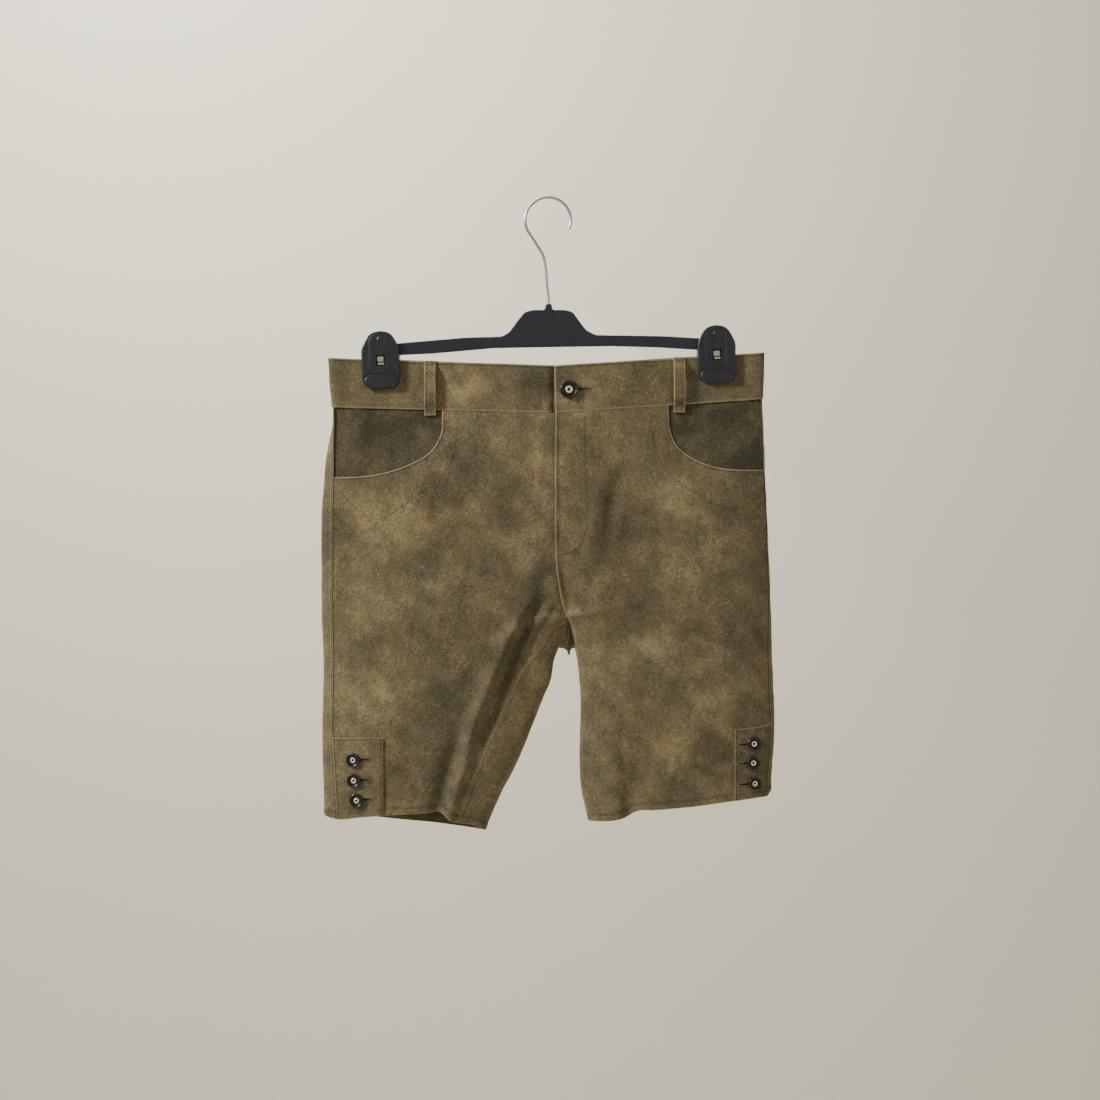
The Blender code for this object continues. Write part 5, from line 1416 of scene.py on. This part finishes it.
# Buttonholes: x and z at the button and at the far end, and the reach of the overcast stitches.
BUTTONHOLES = (
    (22.0, -202.3, 43.6, -201.4, 1.9), (-203.7, -590.4, -186.2, -589.6, 1.7),
    (-203.0, -611.9, -185.8, -611.0, 1.7), (-200.1, -632.6, -184.4, -631.2, 1.7),
    (215.4, -573.6, 199.2, -574.6, 1.7), (214.7, -593.6, 198.6, -594.8, 1.7),
    (216.2, -615.3, 199.8, -616.6, 1.7),
)


def buttonhole(start_x, start_z, end_x, end_z, reach):
    """Overcast stitches square to both sides of a slit and fanned round its far end, and a dark
    sheet in the slit as painted shadow.
    """
    start, end = np.array([start_x, start_z]), np.array([end_x, end_z])
    way = (end - start) / np.linalg.norm(end - start)
    off = np.array([-way[1], way[0]])
    whole = np.linalg.norm(end - start)
    at = np.arange(whole * 0.36, whole - 0.3, OVERCAST_PITCH)
    gape = GAPE * (1 - at / whole) + 0.3
    inner, outer = [], []
    for sign in (-1, 1):
        inner.append(start + way * at[:, None] + off * (sign * gape)[:, None])
        outer.append(start + way * at[:, None] + off * (sign * (gape + reach))[:, None])
    fan = np.radians(np.linspace(-70, 70, 6))[:, None]
    round_end = way * np.cos(fan) + off * np.sin(fan)
    inner.append(end + round_end * 0.35)
    outer.append(end + round_end * (0.3 + reach))
    ends = []
    for line in (np.concatenate(inner), np.concatenate(outer)):
        found = [struck(x, z) for x, z in line]
        ends.append(np.array([hit for hit, _ in found]))
        normals = np.array([normal for _, normal in found])
    bars = capsules(ends[0] + normals * 0.1, ends[1] + normals * 0.1, normals,
                    np.full(len(normals), OVERCAST_THREAD))
    # A dark sheet down the slit, a painted shadow of the opening.
    run = np.linspace(0.3, 1, 14)[:, None]
    wide = (GAPE * (1 - run) + 0.25) * np.where(run > 0.99, 0.0, 1.0)
    lens = np.concatenate([start + way * whole * run + off * wide,
                           start + way * whole * run - off * wide])
    lens = np.array([struck(x, z)[0] for x, z in lens]) + normals.mean(axis=0) * 0.12
    i = np.arange(13)
    faces = np.concatenate([np.stack([i, i + 1, i + 15], 1), np.stack([i, i + 15, i + 14], 1)])
    return bars, (lens, faces)


holes = [buttonhole(*hole) for hole in BUTTONHOLES]
sewn("buttonhole_stitches", [bars for bars, _ in holes], HOLE_THREAD)
# The slits' dark sheets are painted shadow.
sewn("buttonhole_slit_shadows", [slit for _, slit in holes], SLIT_SHADOW)


# Buttons: seven turned horn buttons, a wide one at the waist and three on each vent. A near-black
# dish with a polished rim, and a pale inlaid ring round the middle.

BUTTONS = (
    ("button_waist", 22.05, -202.3, 19.5),
    ("leg_button_right_top", -203.7, -590.4, 15.0),
    ("leg_button_right_middle", -203.0, -611.9, 15.0),
    ("leg_button_right_bottom", -200.1, -632.6, 15.0),
    ("leg_button_left_top", 215.4, -573.6, 15.0),
    ("leg_button_left_middle", 214.7, -593.6, 15.0),
    ("leg_button_left_bottom", 216.2, -615.3, 15.0),
)
# Half section: shares of the radius and heights in millimetres off the back.
BUTTON_SECTION = (
    (0.02, 0.0), (0.45, 0.0), (0.72, 0.05), (0.88, 0.45), (0.97, 1.1), (1.0, 2.1), (0.975, 2.75),
    (0.93, 3.1), (0.87, 3.2), (0.81, 3.0), (0.74, 2.6), (0.62, 2.15), (0.48, 1.85), (0.42, 1.8),
    (0.385, 2.05), (0.34, 2.4), (0.28, 2.5), (0.22, 2.35), (0.18, 1.9), (0.14, 1.45), (0.08, 1.35),
    (0.02, 1.35),
)
BUTTON_SIDES = 72


def horn():
    """Near-black horn with a faint streak, a pale ring and a polished rim."""
    graph = Graph("turned horn", Coat_Roughness=0.1, Specular_IOR_Level=0.3)
    ring = graph.mark("ring").held()
    streak = graph.noise(240.0, 3.0, 0.6)
    dish = graph.colour((streak * 0.5 + 0.5).held(), (0.007, 0.005, 0.004), (0.022, 0.015, 0.010))
    graph.drive("Base Color", graph.colour(ring, dish, (0.78, 0.75, 0.69)))
    graph.drive("Roughness", (0.34 + streak * 0.05) - ring * 0.12)
    graph.drive("Metallic", ring * 0.55)
    graph.drive("Coat Weight", (graph.mark("rim") + ring * 0.5).held())
    return graph.material


HORN = horn()


def around(rings, sides):
    """Faces of rings of points joined round and along, closed to two end points after them."""
    i, k = np.meshgrid(np.arange(rings - 1), np.arange(sides), indexing="ij")
    a, b = (i * sides + k).ravel(), (i * sides + (k + 1) % sides).ravel()
    k, n, last = np.arange(sides), (np.arange(sides) + 1) % sides, rings * sides
    return np.concatenate([
        np.stack([a, b, b + sides], 1), np.stack([a, b + sides, a + sides], 1),
        np.stack([n, k, np.full(sides, last)], 1),
        np.stack([k + last - sides, n + last - sides, np.full(sides, last + 1)], 1)])


def lathe(section, sides):
    """Points and faces of a section (radius, height) turned round Z, closed at both ends."""
    turn = np.arange(sides) * math.tau / sides
    rings = np.stack([
        section[:, 0, None] * np.cos(turn), section[:, 0, None] * np.sin(turn),
        np.repeat(section[:, 1, None], sides, axis=1)], axis=-1)
    ends = np.array([[0, 0, section[0, 1]], [0, 0, section[-1, 1]]])
    return np.concatenate([rings.reshape(-1, 3), ends]), around(len(section), sides)


FEELERS = (
    (0, 0), (1, 0), (-1, 0), (0, 1), (0, -1), (0.7, 0.7), (-0.7, 0.7), (0.7, -0.7), (-0.7, -0.7),
)
SEAT_SHARE, SEAT_GAP = 0.36, 0.08


def seat_of(x, z, reach):
    """Where a flat disc rests on the cloth from before: its middle and its direction out.

    The disc takes the plane of nine points of the cloth and clears the highest of them.
    """
    points = np.array([struck(x + a * reach, z + b * reach)[0] for a, b in FEELERS])
    _, _, axes = np.linalg.svd(points - points.mean(axis=0))
    out = axes[2] * -np.sign(axes[2][1])
    highest = np.max((points - points[0]) @ out)
    return points[0] + out * (highest + SEAT_GAP), out


def button(name, x, z, width):
    """One button, with its inlaid ring and its polished rim marked by share of the radius."""
    section = rounded(np.array(BUTTON_SECTION) * (width / 2, 1.0), 60)
    points, faces = lathe(section, BUTTON_SIDES)
    share = np.hypot(points[:, 0], points[:, 1]) / (width / 2)
    front = points[:, 2] > 1.2
    marks = {
        "ring": ease((0.4 - share) / 0.03) * ease((share - 0.15) / 0.03) * front,
        "rim": ease((share - 0.8) / 0.08) * front,
    }
    middle, out = seat_of(x, z, SEAT_SHARE * width)
    beside = unit(np.cross(out, (0.0, 0.0, 1.0)))
    above = np.cross(beside, out)
    placed = middle + points[:, :1] * beside + points[:, 1:2] * above + points[:, 2:] * out
    turned = faces[:, ::-1] if np.dot(np.cross(beside, above), out) < 0 else faces
    return cloth_object(f"horn_{name}", placed, turned, marks, HORN, "horn", [name], 40.0)


for name, x, z, width in BUTTONS:
    button(name, x, z, width)


# Hanger: a moulded plastic bar with a raised middle, a bent wire hook that turns in it, and two
# clips, each of two jaws pinched by a bright spring that shows through a window in the front jaw.

BAR_HALF, WIRE = 3.2, 3.2
BAR_OUTLINE = (
    (120.0, -145.0), (50.4, -143.9), (40.6, -139.1), (34.2, -131.0), (26.3, -119.8), (18.2, -117.4),
    (4.5, -117.4), (4.0, -111.0), (-3.0, -111.0), (-3.5, -117.4), (-16.8, -117.4), (-24.9, -119.7),
    (-33.0, -129.5), (-41.0, -140.7), (-49.0, -145.5), (-87.2, -146.5), (-155.4, -152.3),
    (-197.0, -156.5), (-197.0, -167.3), (-155.1, -164.9), (-121.3, -163.3), (-57.0, -157.6),
    (2.1, -156.5), (66.4, -155.5), (114.5, -156.8), (154.8, -159.2), (197.4, -161.7),
    (197.4, -149.0), (156.5, -147.1),
)
BAR_BEVEL, BAR_SPACING = 1.5, 1.6
HOOK_STEM = (
    (0.5, -113.0), (0.4, -104.0), (-1.0, -92.0), (-2.4, -74.6), (-4.6, -61.5), (-12.5, -47.3),
)
HOOK_RADIUS, HOOK_CENTRE_Z, HOOK_SWEEP = 24.15, -22.55, (208.0, -22.0)
HOOK_TIP, HOOK_SIDES = np.array([1.6, 1.2, 0.8, 0.5, 0.25, 0.1, 0.0]), 20
CLIPS = (("right", -177.0, -140.2), ("left", 176.5, -134.0))
CLIP_LEAN = math.radians(-1.5)
JAW_SIDE = (
    (6.0, -0.9), (10.5, -2.9), (13.2, -5.6), (15.2, -9.0), (17.2, -12.6), (18.9, -16.4),
    (19.7, -22.0), (20.0, -30.0), (20.0, -47.0), (19.4, -53.0), (16.8, -58.2), (12.2, -61.0),
)
JAW_NEAR, JAW_FAR, JAW_BEVEL = 3.6, 9.6, 1.6
# Boxes (left, right, low, high) of a jaw's raised middle and grip pad, with their corner radii.
JAW_MIDDLE, JAW_PAD = ((-11.6, 9.8, -44.6, -3.4), 9.0), ((-17.4, 18.2, -60.2, -46.2), 6.9)
BOSS_X, BOSS_Z, BOSS_RADIUS = 0.6, -9.4, 3.6
WINDOW, WINDOW_CORNER = (-4.6, 4.6, -37.0, -26.0), 0.6
SPRINGS, SPRING_BEVEL = (((-3.8, 3.4), (-32.6, -26.7)), ((-3.1, 4.0), (-36.4, -33.4))), 0.5
EAR = ((17.0, -16.8), (20.6, -17.2), (21.6, -19.0), (21.6, -26.5), (20.8, -28.2), (17.0, -28.6))
EAR_NEAR, EAR_FAR, EAR_BEVEL = 3.7, 8.4, 0.6


def moulded(name, colour, rough):
    """Moulded plastic with a fine speck and a faint cloud."""
    graph = Graph(name)
    speck = graph.noise(700.0, 2.0)
    cloud = graph.noise(38.0, 3.0)
    graph.mottled(cloud, colour, 1, 1.35)
    graph.drive("Roughness", rough + speck * 0.04 + cloud * 0.05)
    graph.bump(speck, 0.00005, 0.5)
    return graph.material


PLASTIC = moulded("moulded plastic", (0.0155, 0.0185, 0.0225), 0.3)


def metal(name, colour, rough):
    """Drawn or plated metal, a little uneven in tone and shine."""
    graph = Graph(name, Metallic=1.0)
    brushed = graph.noise(420.0, 2.0)
    graph.mottled(brushed, colour, 1, 0.85)
    graph.drive("Roughness", rough + brushed * 0.06)
    return graph.material


STEEL = metal("steel wire", (0.66, 0.65, 0.62), 0.3)
NICKEL = metal("nickel spring", (0.72, 0.66, 0.53), 0.34)


def softened(outline, step, passes):
    """Closed outline with even steps and rounded corners; first and last points are the same."""
    line = np.array([*outline, outline[0]], float)
    line = along(line, np.arange(0, arc(line)[-1] - step / 2, step))
    for _ in range(passes):
        line = (np.roll(line, 1, axis=0) + 2 * line + np.roll(line, -1, axis=0)) / 4
    return np.concatenate([line, line[:1]])


BEVEL_SHARES = (0.0, 0.08, 0.25, 0.5, 0.75, 1.0)


def plate(outline, spacing, bevel, hole=None):
    """Grid cut to an outline that runs clockwise: table of x, z and distance in from the edge.

    Its triangles are split along the edge and along lines inside it, where the bevel runs.
    """
    low, high = outline.min(axis=0) - spacing, outline.max(axis=0) + spacing
    x, z = (np.arange(a, b + spacing, spacing) for a, b in zip(low, high))
    grid = np.stack(np.meshgrid(x, z, indexing="ij"), axis=-1).reshape(-1, 2)
    away = line_distance(outline, grid[:, 0], grid[:, 1])
    table, faces = divide_at(
        np.column_stack([grid, away, away]), grid_faces(len(x), len(z), True),
        [bevel * share for share in BEVEL_SHARES], 3 * spacing)
    faces = faces[table[faces, 2].mean(axis=1) > 0]
    if hole is not None:
        table[:, 3] = boxed(table[:, 0], table[:, 1], hole, WINDOW_CORNER)
        table, faces = divide(table, faces, 3)
        faces = faces[table[faces, 3].mean(axis=1) > 0]
    used, faces = np.unique(faces, return_inverse=True)
    return table[used], faces.reshape(-1, 3)


def boxed(x, z, box, corner):
    """Distance from a rounded box (left, right, low, high), negative inside it."""
    left, right, low, high = box
    over = np.abs(x - (left + right) / 2) - (right - left) / 2 + corner
    up = np.abs(z - (low + high) / 2) - (high - low) / 2 + corner
    outside = np.hypot(np.maximum(over, 0), np.maximum(up, 0))
    return outside + np.minimum(np.maximum(over, up), 0) - corner


def dropped(away, bevel):
    """Fall of a quarter-round edge: r - sqrt(r^2 - (r - d)^2) within r of the edge."""
    within = np.clip(bevel - away, 0, bevel)
    return bevel - np.sqrt(bevel**2 - within**2)


def thick(table, faces, front, back):
    """Closed body between two depths over the same cut grid."""
    ahead, behind = (np.column_stack([table[:, 0], depth, table[:, 1]]) for depth in (front, back))
    return np.concatenate([ahead, behind]), walled(faces, len(table))


table, faces = plate(softened(BAR_OUTLINE[::-1], 1.2, 3), BAR_SPACING, BAR_BEVEL)
x, inward = table[:, 0], table[:, 2]
collar = 0.45 * ease((x + 64.5) / 1.6) * ease((-56.5 - x) / 1.6)
depth = BAR_HALF - dropped(inward, BAR_BEVEL) * 0.97 + collar * ease(inward / BAR_BEVEL)
cloth_object("moulded_bar", *thick(table, faces, -depth, depth), {}, PLASTIC, "hanger_plastic",
             ["hanger_bar"], 40.0)


def tube(route, radius, sides):
    """Round wire along a route in the plane y = 0, its far end rounded over."""
    way = unit(np.gradient(route, axis=0))
    beside = np.stack([way[:, 1], -way[:, 0]], axis=-1)
    left = arc(route)[-1] - arc(route)
    size = radius * np.sqrt(1 - np.clip(1 - left / radius, 0, 0.999) ** 2)
    turn = np.arange(sides) * math.tau / sides
    flat = route[:, None] + beside[:, None] * (size[:, None] * np.cos(turn))[..., None]
    points = np.stack([flat[..., 0], size[:, None] * np.sin(turn), flat[..., 1]], axis=-1)
    ends = np.array([[route[0][0], 0, route[0][1]], [route[-1][0], 0, route[-1][1]]])
    return np.concatenate([points.reshape(-1, 3), ends]), around(len(route), sides)


turn = np.radians(np.linspace(*HOOK_SWEEP, 60))
ring = np.stack([HOOK_RADIUS * np.cos(turn), HOOK_CENTRE_Z + HOOK_RADIUS * np.sin(turn)], axis=-1)
tip = along(ring, arc(ring)[-1] - HOOK_TIP)
route = np.concatenate([rounded(HOOK_STEM + (tuple(ring[0]),), 60)[:-1], ring[:-3], tip])
cloth_object("wire_hook", *tube(route, WIRE / 2, HOOK_SIDES), {}, STEEL, "hook_wire",
             ["hanger_hook"], 60.0)


def leaned(points, x, z):
    """Points of a clip turned by its lean about its top and set in place."""
    c, s = math.cos(CLIP_LEAN), math.sin(CLIP_LEAN)
    return np.column_stack([
        points[:, 0] * c + points[:, 2] * s + x, points[:, 1],
        points[:, 2] * c - points[:, 0] * s + z])


JAW_OUTLINE = softened([(0.0, 0.0), *JAW_SIDE] + [(-x, z) for x, z in JAW_SIDE[::-1]], 0.7, 2)


def jaw_relief(x, z):
    """Height of a jaw's face: raised middle, round boss, grip pad in a groove."""
    middle, pad = boxed(x, z, *JAW_MIDDLE), boxed(x, z, *JAW_PAD)
    boss = np.hypot(x - BOSS_X, z - BOSS_Z)
    dome = np.sqrt(np.clip(BOSS_RADIUS**2 - boss**2, 0, None))
    rise = 0.75 * ease(0.5 - middle / 2.4) + dome * 0.24 - 0.35 * bell(boss, 4.2, 0.5)
    groove = -1.15 * bell(pad, 0.35, 0.75)
    return np.where(pad < 1.2, 0, rise) * ease((pad - 0.5) / 2) + groove + (
        0.45 * ease(-pad / 0.9) + 0.3 * bell(pad, -1.3, 0.6))


def jaw(face, spacing, hole=None):
    """One jaw, front (-1) or back (1), bevelled and relieved on the side away from the cloth."""
    table, faces = plate(JAW_OUTLINE, spacing, JAW_BEVEL, hole)
    relief = jaw_relief(-face * table[:, 0], table[:, 1]) * ease(table[:, 2] / JAW_BEVEL)
    far = face * (JAW_FAR - dropped(table[:, 2], JAW_BEVEL) - 0.5 + relief * 0.8)
    near = np.full(len(table), face * JAW_NEAR)
    return thick(table, faces, *((far, near) if face < 0 else (near, far)))


def ear(way):
    """The small lug on a back jaw's outer side: way is -1 for the right clip, 1 for the left."""
    outline = softened([(way * x, z) for x, z in EAR][::way], 0.5, 2)
    table, faces = plate(outline, 0.5, EAR_BEVEL)
    drop = dropped(table[:, 2], EAR_BEVEL)
    return thick(table, faces, drop + EAR_NEAR, EAR_FAR - drop)


def spring_strip(across, upright):
    """One strip of a spring, seen through the window and fullest in the middle of its height."""
    (left, right), (low, high) = across, upright
    strip = softened([(left, high), (right, high), (right, low), (left, low)], 0.4, 2)
    table, faces = plate(strip, 0.35, SPRING_BEVEL)
    curve = 0.5 * ((table[:, 1] - (low + high) / 2) / (high - low) * 2) ** 2
    return thick(table, faces, -JAW_FAR + 0.9 + curve + dropped(table[:, 2], SPRING_BEVEL),
                 np.full(len(table), -JAW_NEAR))


for side, x, z in CLIPS:
    for name, parts, finish, slot, sharp in (
            ("front", [jaw(-1, 0.55, WINDOW)], PLASTIC, "hanger_plastic", 50.0),
            ("back", [jaw(1, 0.8), ear(int(HALVES[side].out))], PLASTIC, "hanger_plastic", 50.0),
            ("spring", [spring_strip(*strip) for strip in SPRINGS], NICKEL, "clip_nickel", 40.0)):
        points, faces = merged(parts)
        piece = f"{name}_{side}"
        cloth_object(piece if name == "spring" else f"jaw_{piece}", leaned(points, x, z), faces,
                     {}, finish, slot, [f"clip_{piece}"], sharp)


# The sizes of the band, hip piece and placket cuts of each side, in metres, before they were sewn
# and hung; nothing below uses them.

for side in HALVES:
    band = 0.495 if side == "right" else 0.435
    hip = (0.135, 0.105) if side == "right" else (0.12, 0.1)
    flap = (0.046, 0.098) if side == "right" else (0.036, 0.088)
    hip[0] * hip[1] * 0.95


# Studio: a pale wall far behind, a pale floor well below, soft light from the upper left, camera.

def plain(name, colour, roughness):
    """Painted surface with a faint unevenness."""
    graph = Graph(name)
    cloud = graph.noise(1.4, 3.0)
    graph.mottled(cloud, colour, 1, 0.95)
    graph.drive("Roughness", roughness + cloud * 0.03)
    return graph.material


def plane(name, corners, finish):
    """One flat side of the room."""
    mesh = bpy.data.meshes.new(name)
    mesh.from_pydata(corners, [], [(0, 1, 2, 3)])
    mesh.materials.append(finish)
    thing = bpy.data.objects.new(name, mesh)
    bpy.context.scene.collection.objects.link(thing)


# In metres: half the room's width, where its wall and floor are, and the wall's top.
ROOM, WALL_Y, FLOOR_Z, TOP_Z = 9, 2.4, -2.2, 5
WALL = plain("studio wall", (0.73, 0.69, 0.57), 0.9)
plane("backdrop", [(x, WALL_Y, z) for x, z in (
    (-ROOM, FLOOR_Z), (ROOM, FLOOR_Z), (ROOM, TOP_Z), (-ROOM, TOP_Z))], WALL)
plane("floor", [(x, y, FLOOR_Z) for x, y in (
    (-ROOM, -ROOM), (ROOM, -ROOM), (ROOM, ROOM), (-ROOM, ROOM))], WALL)

world = bpy.data.worlds.new("room")
world.use_nodes = True
background = world.node_tree.nodes["Background"]
background.inputs["Color"].default_value = (1.0, 0.97, 0.92, 1.0)
background.inputs["Strength"].default_value = 0.42
bpy.context.scene.world = world


def lamp(name, where, aim, size, power, colour):
    """A square soft light that faces its aim."""
    light = bpy.data.lights.new(name, "AREA")
    light.shape, light.size = "SQUARE", size
    light.energy, light.color = power, colour
    thing = bpy.data.objects.new(name, light)
    thing.location = where
    thing.rotation_euler = (Vector(aim) - Vector(where)).to_track_quat("-Z", "Y").to_euler()
    bpy.context.scene.collection.objects.link(thing)


lamp("window", (-2.2, -1.15, 0.95), (0, 0, -0.35), 0.5, 84, (1.0, 0.985, 0.95))
lamp("fill", (1.9, -1.6, -0.2), (0, 0, -0.4), 1.6, 7, (1.0, 0.96, 0.9))
lamp("wall_light", (-1.0, 0.9, 1.6), (0.2, 2.4, -0.3), 2.0, 105, (1.0, 0.97, 0.92))
lamp("behind", (0.8, 1.9, 0.6), (0, 0, -0.4), 1.6, 14, (1.0, 0.97, 0.93))

camera = bpy.data.cameras.new("camera")
camera.lens, camera.sensor_width = 56.1, 36.0
eye = bpy.data.objects.new("camera", camera)
eye.location = (0.002, -1.81, -0.3707)
eye.rotation_euler = (math.pi / 2, 0, 0)
bpy.context.scene.collection.objects.link(eye)
bpy.context.scene.camera = eye
